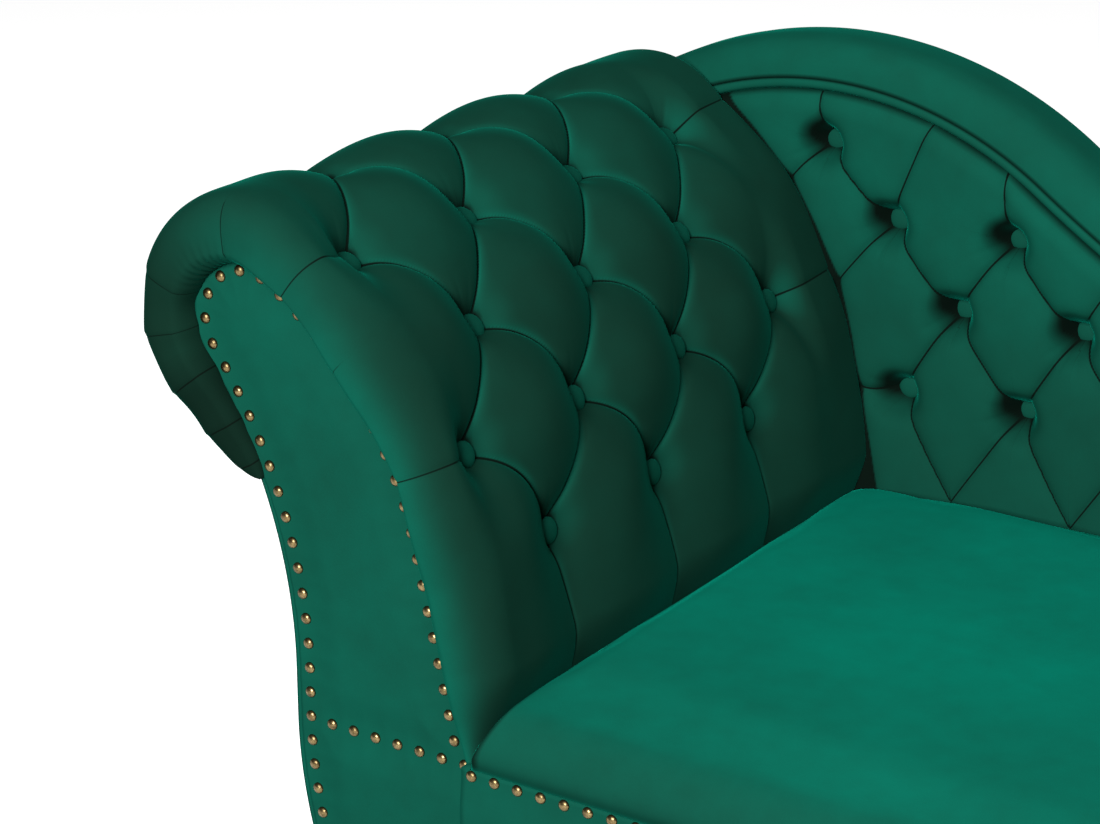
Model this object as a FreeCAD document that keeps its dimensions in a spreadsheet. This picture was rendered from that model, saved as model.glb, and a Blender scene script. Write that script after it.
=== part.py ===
import FreeCAD, Part
import math
import os
import re
from types import SimpleNamespace
from FreeCAD import Placement, Rotation, Vector

# A chesterfield chaise longue: one rolled, deep-buttoned arm at the head end, a tufted back that
# sweeps down towards the foot, a plain sprung seat and four turned legs.
# Working axes: X runs from the arm to the foot, Y from front to back, Z up. Local zero is the front
# corner where the arm meets the seat rail, at the height of the nail row.

SIZES = (
    ("leg_height", 144, "turned leg without its glide"),
    ("leg_top_radius", 27, "collar of the leg under the frame"),
    ("leg_neck_radius", 17, "narrow neck below the collar"),
    ("leg_bulb_radius", 25, "widest part of the turned bulb"),
    ("leg_foot_radius", 14, "foot of the leg"),
    ("leg_collar", 14, "height of the collar"),
    ("leg_neck", 12, "height of the neck under the collar"),
    ("leg_shoulder", 32, "height from the neck down to the widest part"),
    ("leg_ankle", 8, "straight end of the foot"),
    ("glide_inset", 1, "glide in from the edge of the foot"),
    ("glide_height", 6, "plastic glide under the leg"),
    ("bolt_radius", 4, "hanger bolt of the leg"),
    ("bolt_reach", 32, "how far the bolt goes into leg and block"),
    ("block_width", 76, "corner block, square in plan"),
    ("block_height", 45, "corner block"),
    ("base_height", 190, "underside of the frame up to the nail row"),
    ("rail_thickness", 25, "seat rails and braces"),
    ("deck_drop", 30, "top of the rails below the nail row"),
    ("spring_rail_height", 60, "rail that carries the rear ends of the springs"),
    ("brace_height", 60, "cross braces"),
    ("brace_first", 390, "first cross brace from the arm"),
    ("brace_spacing", 390, "distance between the cross braces"),
    ("seat_length", 1290, "arm facing to the foot end"),
    ("seat_depth", 585, "arm facing plane back to the crowns of the back pad"),
    ("seat_rise", 50, "seat top above the nail row"),
    ("seat_crown", 7, "extra height in the middle of the seat"),
    ("seat_overhang", 18, "front of the seat before the arm facing plane"),
    ("seat_skin", 6, "cover and wadding over the seat foam"),
    ("seat_edge", 32, "rounding of the seat edge"),
    ("seat_draw", 6, "how far the seat is drawn in at its bottom"),
    ("crown_reach", 200, "seat edge in to where the crown is full"),
    ("band_proud", 12, "front band before the arm facing plane"),
    ("cover_thickness", 6, "padded outside covers"),
    ("cover_overlap", 5, "bands and covers above the nail row"),
    ("facing_thickness", 7, "arm facing panel"),
    ("board_thickness", 18, "plywood scroll boards of the arm"),
    ("lining_thickness", 4, "bent hardboard between the scroll boards"),
    ("roll_out", 205, "centre of the arm roll outside the seat corner"),
    ("roll_up", 320, "centre of the arm roll above the nail row"),
    ("lobe_radius", 52, "round end of the scroll board"),
    ("inner_lean", 12.7, "lean of the straight inner edge, degrees"),
    ("inner_radius", 306, "curve from the straight edge into the roll"),
    ("outer_radius", 409, "hollow curve under the roll"),
    ("arm_width", 164, "arm at the nail row"),
    ("base_radius", 400, "inward curve of the arm below the nail row"),
    ("arm_pad", 50, "padding over the scroll board at the crowns"),
    ("arm_pad_foot", 42, "padding where the arm meets the seat"),
    ("nose_bulge", 20, "padding rolled forward over the front of the arm"),
    ("nose_depth", 34, "length over which the front of the roll rounds off"),
    ("tuck_up", 196, "where the roll tucks in under, above the nail row"),
    ("tuck_gap", 6, "outside cover below that tuck"),
    ("arm_row_first", 150, "lowest button row, along the arm from the nail row"),
    ("arm_row_step", 87, "spacing of the arm rows along the padding"),
    ("arm_column_first", 47, "first button column behind the facing"),
    ("arm_column_step", 77, "half the spacing of the arm columns"),
    ("tuft_depth", 27, "crowns of the arm down to its buttons"),
    ("stretcher_width", 30, "arm stretchers, square"),
    ("roll_rail_radius", 30, "round rail inside the arm roll"),
    ("back_pad", 50, "back padding over the back board at the crowns"),
    ("back_board", 12, "plywood back board"),
    ("post_width", 40, "back posts"),
    ("post_first", -100, "first back post from the seat corner"),
    ("top_rail_width", 40, "curved top rail of the back"),
    ("tack_thickness", 10, "strip on the spring rail that the back pad stands on"),
    ("tack_up", 20, "top of that strip above the nail row"),
    ("shoulder_radius", 78, "shoulder of the back behind the arm roll"),
    ("hump_rise", 53, "top of the back above its shoulder"),
    ("hump_out", 175, "top of the back from the centre of the roll"),
    ("sweep_slope", 36, "steepest slope of the sweep, degrees"),
    ("sweep_radius", 1250, "hollow sweep of the back"),
    ("end_slope", 6, "slope where the sweep ends, degrees"),
    ("end_radius", 66, "rounded foot end of the back"),
    ("border_lip", 34, "plain border in front of the back"),
    ("border_cap", 16, "border padding over the top rail"),
    ("border_setback", 15, "border front behind the crowns of the back pad"),
    ("border_round", 22, "rounding of the border edges"),
    ("welt_radius", 4.5, "piping under the border"),
    ("back_column_first", -29, "first button column of the back, in its top row"),
    ("back_column_step", 58, "half the spacing of the back columns"),
    ("back_column_shift", 9, "each row further towards the foot than the row above"),
    ("back_row_first", 360, "top button row above the nail row"),
    ("back_row_step", 60, "spacing of the back rows at the top"),
    ("back_row_growth", 4.5, "how the row spacing grows downwards"),
    ("back_tuft_depth", 34, "crowns of the back down to its buttons"),
    ("button_radius", 11, "covered buttons"),
    ("button_height", 6, "covered buttons"),
    ("nail_radius", 4.8, "upholstery nails"),
    ("nail_height", 3.2, "upholstery nails"),
    ("nail_pitch", 21, "spacing of the nails"),
    ("nail_inset", 10, "nails in from the edge of the facing"),
    ("spring_wire", 4, "wire of the zigzag springs"),
    ("spring_first", 120, "first spring from the seat corner"),
    ("spring_spacing", 175, "distance between the springs"),
    ("spring_width", 60, "width of a zigzag"),
    ("spring_pitch", 38, "step of a zigzag"),
    ("clip_length", 12, "clips that hold the springs"),
    ("felt_thickness", 5, "felt between springs and foam"),
    ("dust_thickness", 1.5, "dust cover under the frame"),
    ("fit_gap", 0.3, "clearance between curved soft faces"),
)
SPRING_COUNT = 7
POST_COUNT = 5
ARM_ROWS = 5
ARM_COLUMNS = 7
# Arcs in one section of each pad.
ARM_ARCS = 26
BACK_ARCS = 14
# Folds lie half way between the buttons and the crowns; tufts fade out over plain margins, and a
# button needs room for most of a tuft. All in shares of a tuft.
CREASE_SHARE = 0.5
PLAIN_MARGIN = 0.75
TUFT_FADE = 0.7
BUTTON_ROOM = 0.65
# Sections along a rounded edge, in shares of its length.
NOSE_STOPS = (0, 0.12, 0.35, 0.62, 1)
ROUND_STOPS = (0, 0.15, 0.45, 1)
# Front edge of the arm padding, in shares of its thickness.
NOSE_THICKNESS = 0.55
NOSE_LIFT = 0.3
# Where the roll ends and where the shoulder of the back starts, in degrees round the roll.
ROLL_END = 250
SHOULDER_FROM = 205
# Share of the seat's height below its rounded edge.
SEAT_WALL = 0.35

doc = FreeCAD.newDocument("chaise_longue")
sheet = doc.addObject("Spreadsheet::Sheet", "Size")
for row, (alias, value, meaning) in enumerate(SIZES, 1):
    sheet.set(f"A{row}", meaning)
    sheet.set(f"B{row}", str(value))
    sheet.setAlias(f"B{row}", alias)
doc.recompute()
v = SimpleNamespace(**{alias: float(getattr(sheet, alias)) for alias, _, _ in SIZES})
PARTS = []

# Expressions for the main planes, in local millimetres.
FRONT = "facing_thickness + rail_thickness"
BOARD_FRONT = "seat_depth + back_pad"
POST_FRONT = f"{BOARD_FRONT} + back_board"
COVER_FRONT = f"{POST_FRONT} + rail_thickness"
FOOT_FACE = "seat_length - nail_height"
FOOT_INNER = f"{FOOT_FACE} - band_proud"
BASE = "-base_height"
HEAD = "-arm_width + cover_thickness + base_radius - sqrt(base_radius^2 - base_height^2)"
HOME = {
    "x": "(roll_out + lobe_radius + arm_pad - seat_length) / 2",
    "y": f"(nose_bulge - ({COVER_FRONT} + cover_thickness)) / 2",
    "z": "glide_height + leg_height + base_height",
}


def bound(text):
    """Prefix every size in an expression with the name of the sheet."""
    return re.sub(r"\b(?!sqrt\b)([a-z]\w+)", r"Size.\1", text)


def place(thing, x="0", y="0", z="0"):
    """Bind the position of an object, given in local expressions, to the sheet."""
    for axis, text in zip("xyz", (x, y, z)):
        thing.setExpression(f"Placement.Base.{axis}", bound(f"{text} + {HOME[axis]}"))


def keep(thing, label):
    thing.Label = label
    PARTS.append(thing)
    return thing


def add_box(label, size, corner):
    """A plain board or rail, with its size and corner as expressions."""
    box = doc.addObject("Part::Box", label)
    for side, text in zip(("Length", "Width", "Height"), size):
        box.setExpression(side, bound(text))
    place(box, *corner)
    return keep(box, label)


def add_shape(label, shape):
    """A piece worked out in code from the sizes of the sheet."""
    thing = doc.addObject("Part::Feature", label)
    thing.Shape = shape
    place(thing)
    return keep(thing, label)


def add_pad(label, outline, thickness, y):
    """A board padded from a sketch of edges in the XZ plane, its front face at local y."""
    body = doc.addObject("PartDesign::Body", label)
    sketch = body.newObject("Sketcher::SketchObject", f"{label}_outline")
    plane = next(item for item in body.Origin.OriginFeatures if item.Role == "XZ_Plane")
    sketch.AttachmentSupport = (plane, "")
    sketch.MapMode = "FlatFace"
    for edge in outline:
        sketch.addGeometry(flat_curve(edge), False)
    pad = body.newObject("PartDesign::Pad", f"{label}_pad")
    pad.Profile = sketch
    pad.setExpression("Length", bound(thickness))
    pad.Reversed = True
    place(body, y=y)
    return keep(body, label)


def flat_curve(edge):
    """The sketch geometry of a line or arc that lies in the XZ plane."""
    start, middle, end = (Vector(p.x, p.z, 0) for p in edge)
    if (middle - start).cross(end - start).Length < 1e-6:
        return Part.LineSegment(start, end)
    return Part.Arc(start, middle, end)


def line(start, end):
    return (start, (start + end) * 0.5, end)


def polar(centre, radius, angle):
    """A point round a centre in the XZ plane, angle in degrees from +X towards +Z."""
    turn = math.radians(angle)
    return Vector(centre.x + radius * math.cos(turn), centre.y, centre.z + radius * math.sin(turn))


def arc(centre, radius, first, last):
    return tuple(polar(centre, radius, a) for a in (first, (first + last) / 2, last))


def chain(points):
    """Straight edges through points in order."""
    return [line(a, b) for a, b in zip(points, points[1:])]


def real_edge(edge):
    start, middle, end = edge
    if (middle - start).cross(end - start).Length < 1e-6:
        return Part.LineSegment(start, end).toShape()
    return Part.Arc(start, middle, end).toShape()


def wire(edges, y=0.0):
    """A wire of lines and arcs, moved to a plane across the object."""
    path = Part.Wire([real_edge(edge) for edge in edges])
    path.translate(Vector(0, y, 0))
    return path


def slab(edges, y, depth):
    """A closed outline in the XZ plane, extruded backwards."""
    return Part.Face(wire(edges, y)).extrude(Vector(0, depth, 0))


def scroll():
    """Centres and tangent angles of the arm's scroll outline."""
    lean = v.inner_lean
    up = Vector(-math.sin(math.radians(lean)), 0, math.cos(math.radians(lean)))
    inward = Vector(-math.cos(math.radians(lean)), 0, -math.sin(math.radians(lean)))
    lobe = Vector(-v.roll_out, 0, v.roll_up)
    away = inward * v.inner_radius - lobe
    half = away.dot(up)
    straight = -half - math.sqrt(half ** 2 - away.dot(away) + (v.inner_radius - v.lobe_radius) ** 2)
    inner = up * straight + inward * v.inner_radius
    across = v.roll_out - v.arm_width - v.outer_radius
    fall = math.sqrt((v.outer_radius + v.lobe_radius) ** 2 - across ** 2)
    outer = Vector(-v.arm_width - v.outer_radius, 0, v.roll_up - fall)
    crown = math.degrees(math.atan2(lobe.z - inner.z, lobe.x - inner.x))
    hollow = math.degrees(math.atan2(lobe.z - outer.z, lobe.x - outer.x))
    return SimpleNamespace(lean=lean, up=up, lobe=lobe, straight=straight, inner=inner,
                           outer=outer, crown=crown, hollow=hollow)


arm = scroll()


def inner_edges(offset, low):
    """Arm edge from the seat side over the roll to the hollow, moved out by an offset."""
    out = polar(Vector(), offset, arm.lean)
    return [line(arm.up * low + out, arm.up * arm.straight + out),
            arc(arm.inner, v.inner_radius + offset, arm.lean, arm.crown),
            arc(arm.lobe, v.lobe_radius + offset, arm.crown, 180 + arm.hollow)]


def outer_edges(offset, low):
    """Outside edge of the arm from the roll down to a height at or below the nail row."""
    x = -v.arm_width - offset
    edges = [arc(arm.outer, v.outer_radius - offset, arm.hollow, 0),
             line(Vector(x, 0, arm.outer.z), Vector(x, 0, 0))]
    if low < 0:
        centre = Vector(v.base_radius - v.arm_width, 0, 0)
        turn = math.degrees(math.asin(-low / (v.base_radius + offset)))
        edges.append(arc(centre, v.base_radius + offset, 180, 180 + turn))
    return edges


def scroll_outline(low):
    """Closed outline of a scroll board or facing that ends at a height below the nail row."""
    edges = inner_edges(0, 0) + outer_edges(0, low)
    corner = Vector(0, 0, low)
    return [line(corner, Vector())] + edges + [line(edges[-1][2], corner)]


def crown_line(offset, low=None):
    """Top outline of the back: shoulder, hump, hollow sweep, rounded end and the drop beside it."""
    rise = v.hump_rise + v.shoulder_radius
    radius = (v.hump_out ** 2 + rise ** 2 - v.shoulder_radius ** 2) / (2 * v.hump_rise)
    peak = Vector(arm.lobe.x + v.hump_out, 0, arm.lobe.z + rise)
    hump = peak - Vector(0, 0, radius)
    meet = math.degrees(math.atan2(arm.lobe.z - hump.z, arm.lobe.x - hump.x))
    bend = 90 - v.sweep_slope
    level = 90 - v.end_slope
    sweep = polar(hump, radius + v.sweep_radius, bend)
    end = polar(sweep, -(v.sweep_radius + v.end_radius), level)
    edges = [arc(arm.lobe, v.shoulder_radius + offset, SHOULDER_FROM, meet),
             arc(hump, radius + offset, meet, bend),
             arc(sweep, offset - v.sweep_radius, bend, level),
             arc(end, v.end_radius + offset, level, 0)]
    if low is not None:
        foot = Vector(end.x + v.end_radius + offset, 0, low)
        edges.append(line(edges[-1][2], foot))
    return edges


def band(offset_out, offset_in, low):
    """Closed strip between two outlines of the back."""
    outside = crown_line(offset_out, low)
    inside = [edge[::-1] for edge in reversed(crown_line(offset_in, low))]
    closing = line(outside[-1][2], inside[0][0])
    return outside + [closing] + inside + [line(inside[-1][2], outside[0][0])]


def height_at(edges, x):
    """Height of an outline at a place along the chaise, the upper of its crossings."""
    ray = Part.LineSegment(Vector(x, 0, -v.base_height), Vector(x, 0, 2 * v.roll_up)).toShape()
    crossings = [real_edge(edge).distToShape(ray) for edge in edges]
    return max(pairs[0][0].z for gap, pairs, _ in crossings if gap < 1e-6)


def pillow(row, column):
    """Diamond tufting: 0 at the buttons, CREASE_SHARE along the folds, 1 on the crowns."""
    one = math.pi * (row + column) / 2
    two = math.pi * (row - column) / 2
    swell = abs(math.sin(one) * math.sin(two))
    dimple = abs(math.cos(one) * math.cos(two))
    return CREASE_SHARE * (1 - dimple ** 4) + (1 - CREASE_SHARE) * swell ** 0.6


def ease(value):
    """Smooth step from 0 to 1."""
    value = min(max(value, 0.0), 1.0)
    return value * value * (3 - 2 * value)


def arm_place(along):
    """Point and outward direction on the bare arm, by distance along the middle of the padding."""
    middle = v.arm_pad / 2
    bend = (v.inner_radius + middle) * math.radians(arm.crown - arm.lean)
    if along < arm.straight:
        return arm.up * along, arm.lean
    if along < arm.straight + bend:
        angle = arm.lean + math.degrees((along - arm.straight) / (v.inner_radius + middle))
        return polar(arm.inner, v.inner_radius, angle), angle
    angle = arm.crown + math.degrees((along - arm.straight - bend) / (v.lobe_radius + middle))
    return polar(arm.lobe, v.lobe_radius, angle), angle


ARM_LOW = 2 * v.cover_overlap
ARM_END = (arm.straight + (v.inner_radius + v.arm_pad / 2) * math.radians(arm.crown - arm.lean)
           + (v.lobe_radius + v.arm_pad / 2) * math.radians(ROLL_END - arm.crown))
ARM_REAR = v.seat_depth + v.border_setback - v.welt_radius - 2 * v.fit_gap


def arm_thickness(along, y):
    """Thickness of the arm padding, with its tufts and its plain margins."""
    row = (along - v.arm_row_first) / v.arm_row_step
    column = (y - v.arm_column_first) / v.arm_column_step
    edge = min(column, ARM_COLUMNS - 1 - column) + PLAIN_MARGIN
    margin = min(row + 1, ARM_ROWS - row, edge)
    tuft = v.tuft_depth * ease(margin / TUFT_FADE) * (1 - pillow(row + 1, column))
    foot = (v.arm_pad - v.arm_pad_foot) * (1 - ease(along / v.arm_row_first))
    return v.arm_pad - tuft - foot


def arm_section(y):
    """Closed section of the arm padding across the chaise."""
    front = min(max((y + v.nose_bulge) / v.nose_depth, 0.0), 1.0)
    squeeze = 1 - math.sqrt(1 - (1 - front) ** 2)
    inner = v.fit_gap + NOSE_LIFT * v.arm_pad * ease((v.fit_gap - y) / v.nose_bulge)

    def surface(along):
        spot, angle = arm_place(along)
        full = arm_thickness(along, y)
        return polar(spot, full - (full - NOSE_THICKNESS * v.arm_pad) * squeeze, angle)

    short = v.arm_pad / 2 * squeeze
    step = (ARM_END - short - ARM_LOW) / ARM_ARCS
    stops = [ARM_LOW + step * k for k in range(ARM_ARCS + 1)]
    outside = [tuple(surface(s) for s in (a, (a + b) / 2, b)) for a, b in zip(stops, stops[1:])]
    tuck = math.degrees(math.asin((v.tuck_up + short - arm.outer.z) / v.outer_radius))
    hollow = arc(arm.outer, v.outer_radius - inner, tuck, arm.hollow)
    inside = [edge[::-1] for edge in reversed(inner_edges(inner, ARM_LOW))]
    edges = outside + [line(outside[-1][2], hollow[0]), hollow] + inside
    return wire(edges + [line(inside[-1][2], outside[0][0])], y)


def arm_pad_shape():
    """The tufted padding of the arm and roll, one piece from the seat over to the tuck."""
    nose = [-v.nose_bulge + v.nose_depth * share for share in NOSE_STOPS]
    step = v.arm_column_step / 2
    plain = v.arm_column_first - step
    count = int((ARM_REAR - plain) / step)
    rest = [plain + (ARM_REAR - plain) * k / count for k in range(count + 1)]
    stops = nose + [y for y in rest if y > nose[-1] + v.cover_overlap]
    return Part.makeLoft([arm_section(y) for y in stops], True, True)


BACK_LOW = v.tack_up
WELT_LINE = -v.border_lip - v.welt_radius - v.fit_gap
PAD_LINE = WELT_LINE - v.welt_radius - v.fit_gap


def back_top(x):
    return height_at(crown_line(PAD_LINE, BACK_LOW), x)


def back_foot(x):
    """Lower edge of the back pad: the arm padding where it is in the way, else below the seat."""
    seam = inner_edges(v.arm_pad + 2 * v.fit_gap, 0)[:2]
    if x >= seam[0][0].x:
        return BACK_LOW
    return max(BACK_LOW, height_at(seam, x))


def back_button_place(row, column):
    """Where the back has a button: its rows drift towards the foot and widen downwards."""
    x = v.back_column_first + v.back_column_step * column + v.back_column_shift * row
    return x, v.back_row_first - v.back_row_step * row - v.back_row_growth * row ** 2


def back_lattice(x, z):
    """Row and column of a place on the back, between its buttons."""
    fall = v.back_row_first - z
    spread = v.back_row_step ** 2 + 4 * v.back_row_growth * max(fall, 0)
    row = 2 * fall / (v.back_row_step + math.sqrt(spread))
    return row, (x - v.back_column_first - v.back_column_shift * row) / v.back_column_step


def back_tuft(x, z, low, top):
    """How deep the back pad dips below its crowns."""
    row, column = back_lattice(x, z)
    room = min(top - z, z - low, BACK_RIGHT - x) / v.back_row_step
    edge = v.border_setback * (1 - ease((top - z) / v.border_round))
    return v.back_tuft_depth * ease(room / TUFT_FADE) * (1 - pillow(row, column)) + edge


def back_section(x):
    """Closed section of the back pad along its height."""
    low, top = back_foot(x), back_top(x)
    behind = v.seat_depth + v.back_pad

    def surface(share):
        z = low + (top - low) * share
        return Vector(x, v.seat_depth + back_tuft(x, z, low, top), z)

    stops = [k / BACK_ARCS for k in range(BACK_ARCS + 1)]
    face = [tuple(surface(s) for s in (a, (a + b) / 2, b)) for a, b in zip(stops, stops[1:])]
    corners = [face[-1][2], Vector(x, behind, top), Vector(x, behind, low), face[0][0]]
    return wire(face + chain(corners))


BACK_END = crown_line(0, 0)[-1][2].x
BACK_RIGHT = crown_line(PAD_LINE, BACK_LOW)[-1][2].x - v.fit_gap
BACK_LEFT = polar(arm.inner, v.inner_radius + v.arm_pad, arm.crown).x + v.shoulder_radius / 2


def back_pad_shape():
    """The tufted padding of the back, from the arm to the rounded end."""
    step = v.back_column_step / 2
    count = int((BACK_RIGHT - BACK_LEFT) / step)
    stops = [BACK_LEFT + (BACK_RIGHT - BACK_LEFT) * k / count for k in range(count + 1)]
    return Part.makeLoft([back_section(x) for x in stops], True, True)


def border_shape():
    """The plain padded border that caps the back: a lip in front and a cap over the rail."""
    front = v.seat_depth + v.border_setback
    board = v.seat_depth + v.back_pad
    rear = board + v.back_board + v.rail_thickness + v.cover_thickness

    def bow(share):
        return math.sqrt(max(1 - (1 - min(share, 1)) ** 2, 0)) - 1

    def rounding(y):
        ahead = v.border_round * bow((y - front) / v.border_round)
        return ahead + v.border_cap / 2 * bow((rear - y) / v.border_round)

    def piece(stops, inside, low):
        return Part.makeLoft([wire(band(rounding(y), inside, low), y) for y in stops], True, True)

    bends = [v.border_round * share for share in ROUND_STOPS]
    low = v.cover_overlap + v.fit_gap
    lip = piece([front + b for b in bends] + [board], -v.border_lip, low)
    cap = piece([board] + [rear - b for b in reversed(bends)], -v.border_cap + v.fit_gap, low)
    return lip.fuse(cap).removeSplitter()


def welt_shape():
    """Piping that follows the lower edge of the border."""
    path = wire(crown_line(WELT_LINE, v.seat_rise), v.seat_depth + v.border_setback)
    start = path.OrderedEdges[0]
    tangent = start.tangentAt(start.FirstParameter)
    ring = Part.Wire(Part.makeCircle(v.welt_radius, path.OrderedVertexes[0].Point, tangent))
    return path.makePipeShell([ring], True, False)


def dome(radius, height, spot, direction):
    """A domed head: the cap of a ball, standing on a flat base."""
    ball = (radius ** 2 + height ** 2) / (2 * height)
    low = math.degrees(math.asin((ball - height) / ball))
    cap = Part.makeSphere(ball, Vector(0, 0, height - ball), Vector(0, 0, 1), low, 90, 360)
    cap.Placement = Placement(spot, Rotation(Vector(0, 0, 1), direction))
    return cap


def nail(spot, direction):
    return dome(v.nail_radius, v.nail_height, spot, direction)


def spaced(path):
    """Points at the nail pitch along a wire, both ends included."""
    return path.discretize(Number=max(2, round(path.Length / v.nail_pitch) + 1))


def facing_nails():
    """Nails round the arm facing and across it at the height of the seat rail."""
    low = v.nail_inset - v.base_height
    round_edge = wire(inner_edges(-v.nail_inset, v.nail_pitch) + outer_edges(-v.nail_inset, low))
    row = wire([line(Vector(v.nail_inset + v.nail_pitch - v.arm_width, 0, 0),
                     Vector(-v.nail_inset / 2, 0, 0))])
    spots = spaced(round_edge) + spaced(row)
    return Part.makeCompound([nail(spot, Vector(0, -1, 0)) for spot in spots])


def band_nails():
    """Nails along the front band and round the foot end."""
    side = v.seat_length - v.nail_height
    rear = v.seat_depth + v.back_pad
    front = wire([line(Vector(v.nail_inset, 0, 0), Vector(side - v.nail_inset, 0, 0))], -v.band_proud)
    foot = Part.Wire(Part.makeLine(Vector(side, v.nail_inset, 0), Vector(side, rear, 0)))
    heads = [nail(spot, Vector(0, -1, 0)) for spot in spaced(front)]
    return Part.makeCompound(heads + [nail(spot, Vector(1, 0, 0)) for spot in spaced(foot)])


def seated(pad, spot, direction):
    """A covered button, lowered along its own direction until it all but touches the pad."""
    travel = v.back_tuft_depth
    for _ in range(4):
        button = dome(v.button_radius, v.button_height, spot + direction * travel, direction)
        gap = button.distToShape(pad)[0]
        travel -= gap - v.fit_gap
    return dome(v.button_radius, v.button_height, spot + direction * travel, direction)


def arm_buttons(pad):
    """Buttons of the arm: rows from the seat up and over the roll, columns staggered."""
    buttons = []
    for row in range(ARM_ROWS):
        for column in range(ARM_COLUMNS):
            if (row + column) % 2:
                along = v.arm_row_first + v.arm_row_step * row
                spot, angle = arm_place(along)
                spot = polar(spot, v.arm_pad - v.tuft_depth, angle)
                spot.y = v.arm_column_first + v.arm_column_step * column
                buttons.append(seated(pad, spot, polar(Vector(), 1, angle)))
    return Part.makeCompound(buttons)


def back_buttons(pad):
    """Buttons of the back wherever a whole tuft fits below the border."""
    buttons = []
    rows = int(v.back_row_first / v.back_row_step)
    columns = int((BACK_RIGHT - v.back_column_first) / v.back_column_step)
    for row in range(rows):
        for column in range(row % 2, columns, 2):
            x, z = back_button_place(row, column)
            if x < BACK_RIGHT and z > BACK_LOW:
                room = min(back_top(x) - z, z - back_foot(x), BACK_RIGHT - x)
                if room > BUTTON_ROOM * v.back_row_step:
                    spot = Vector(x, v.seat_depth + v.back_tuft_depth, z)
                    buttons.append(seated(pad, spot, Vector(0, -1, 0)))
    return Part.makeCompound(buttons)


def seat_ring(inset, z, low_x):
    """L-shaped outline of the seat at a height: behind the back's end it runs to the rear cover."""
    left, right = low_x + inset, v.seat_length - v.fit_gap - inset
    notch = BACK_END + 2 * v.fit_gap + inset
    front = inset - v.seat_overhang
    middle = v.seat_depth - v.fit_gap - inset
    rear = v.seat_depth + v.back_pad + v.back_board + v.rail_thickness + v.cover_thickness - inset
    corners = [(left, front), (right, front), (right, rear), (notch, rear), (notch, middle),
               (left, middle), (left, front)]
    return Part.makePolygon([Vector(x, y, z) for x, y in corners])


def arm_face(z):
    """Inner face of the arm padding at a height near the seat."""
    lean = math.radians(v.inner_lean)
    return v.arm_pad_foot / math.cos(lean) - z * math.tan(lean)


SEAT_FOAM_LEFT = arm_face(0) + v.seat_skin


def seat_foam_shape():
    """The foam block of the seat, cut round the end of the back."""
    low = v.felt_thickness + v.spring_wire + 2 * v.fit_gap - v.deck_drop
    top = v.seat_rise - v.seat_skin
    inset = v.seat_skin + v.seat_overhang
    base = Part.Face(seat_ring(inset, low, SEAT_FOAM_LEFT - inset))
    return base.extrude(Vector(0, 0, top - low))


def seat_cover_shape(foam):
    """The seat cover with its wadding: crowned, rounded at the edge and drawn in at the bottom."""
    low = v.cover_overlap + v.fit_gap
    wall = low + (v.seat_rise - low) * SEAT_WALL
    places = [(v.seat_draw, low), (0, wall)]
    for turn in (math.radians(angle) for angle in (30, 60, 90)):
        places.append((v.seat_edge * (1 - math.cos(turn)), wall + (v.seat_rise - wall) * math.sin(turn)))
    rings = [seat_ring(inset, z, arm_face(z)) for inset, z in places]
    for share in (0.5, 1):
        z = v.seat_rise + v.seat_crown * math.sin(math.radians(90 * share))
        rings.append(seat_ring(v.crown_reach * share, z, arm_face(v.seat_rise)))
    return Part.makeLoft(rings, True, True).cut(foam.makeOffsetShape(v.fit_gap, 1e-3, join=2))


def zigzag(x):
    """One zigzag spring from the front rail to the spring rail, lying on their tops."""
    start = v.facing_thickness + v.clip_length + 2 * v.fit_gap
    end = v.seat_depth + v.back_pad - v.tack_thickness - v.clip_length - 2 * v.fit_gap
    z = v.spring_wire / 2 + v.fit_gap - v.deck_drop
    runs = int((end - start) / v.spring_pitch)
    step = (end - start) / runs
    turn = step / 2
    reach = v.spring_width / 2 - turn
    edges = []
    side = 1
    edges.append(line(Vector(x, start, z), Vector(x, start + turn, z)))
    edges.append(line(Vector(x, start + turn, z), Vector(x + reach, start + turn, z)))
    for run in range(1, runs):
        y = start + turn + step * (run - 1)
        centre = Vector(x + side * reach, y + turn, z)
        bend = [centre + Vector(side * turn * math.sin(a), -turn * math.cos(a), 0)
                for a in (math.pi * k / 4 for k in range(5))]
        edges += [tuple(bend[0:3]), tuple(bend[2:5])]
        stop = reach if run < runs - 1 else 0
        edges.append(line(bend[4], Vector(x - side * stop, y + step, z)))
        side = -side
    edges.append(line(edges[-1][2], Vector(x, end, z)))
    path = wire(edges)
    ring = Part.Wire(Part.makeCircle(v.spring_wire / 2, edges[0][0], Vector(0, 1, 0)))
    return path.makePipeShell([ring], True, False, 2)


def spring_places():
    return [v.spring_first + v.spring_spacing * k for k in range(SPRING_COUNT)]


def spring_clips():
    """Clips on the rails at both ends of every spring."""
    clips = []
    rear = v.seat_depth + v.back_pad - v.tack_thickness - v.clip_length
    height = v.spring_wire + v.fit_gap
    for x in spring_places():
        for y in (v.facing_thickness, rear):
            corner = Vector(x - v.clip_length, y, -v.deck_drop)
            clips.append(Part.makeBox(2 * v.clip_length, v.clip_length, height, corner))
    return Part.makeCompound(clips)


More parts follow.
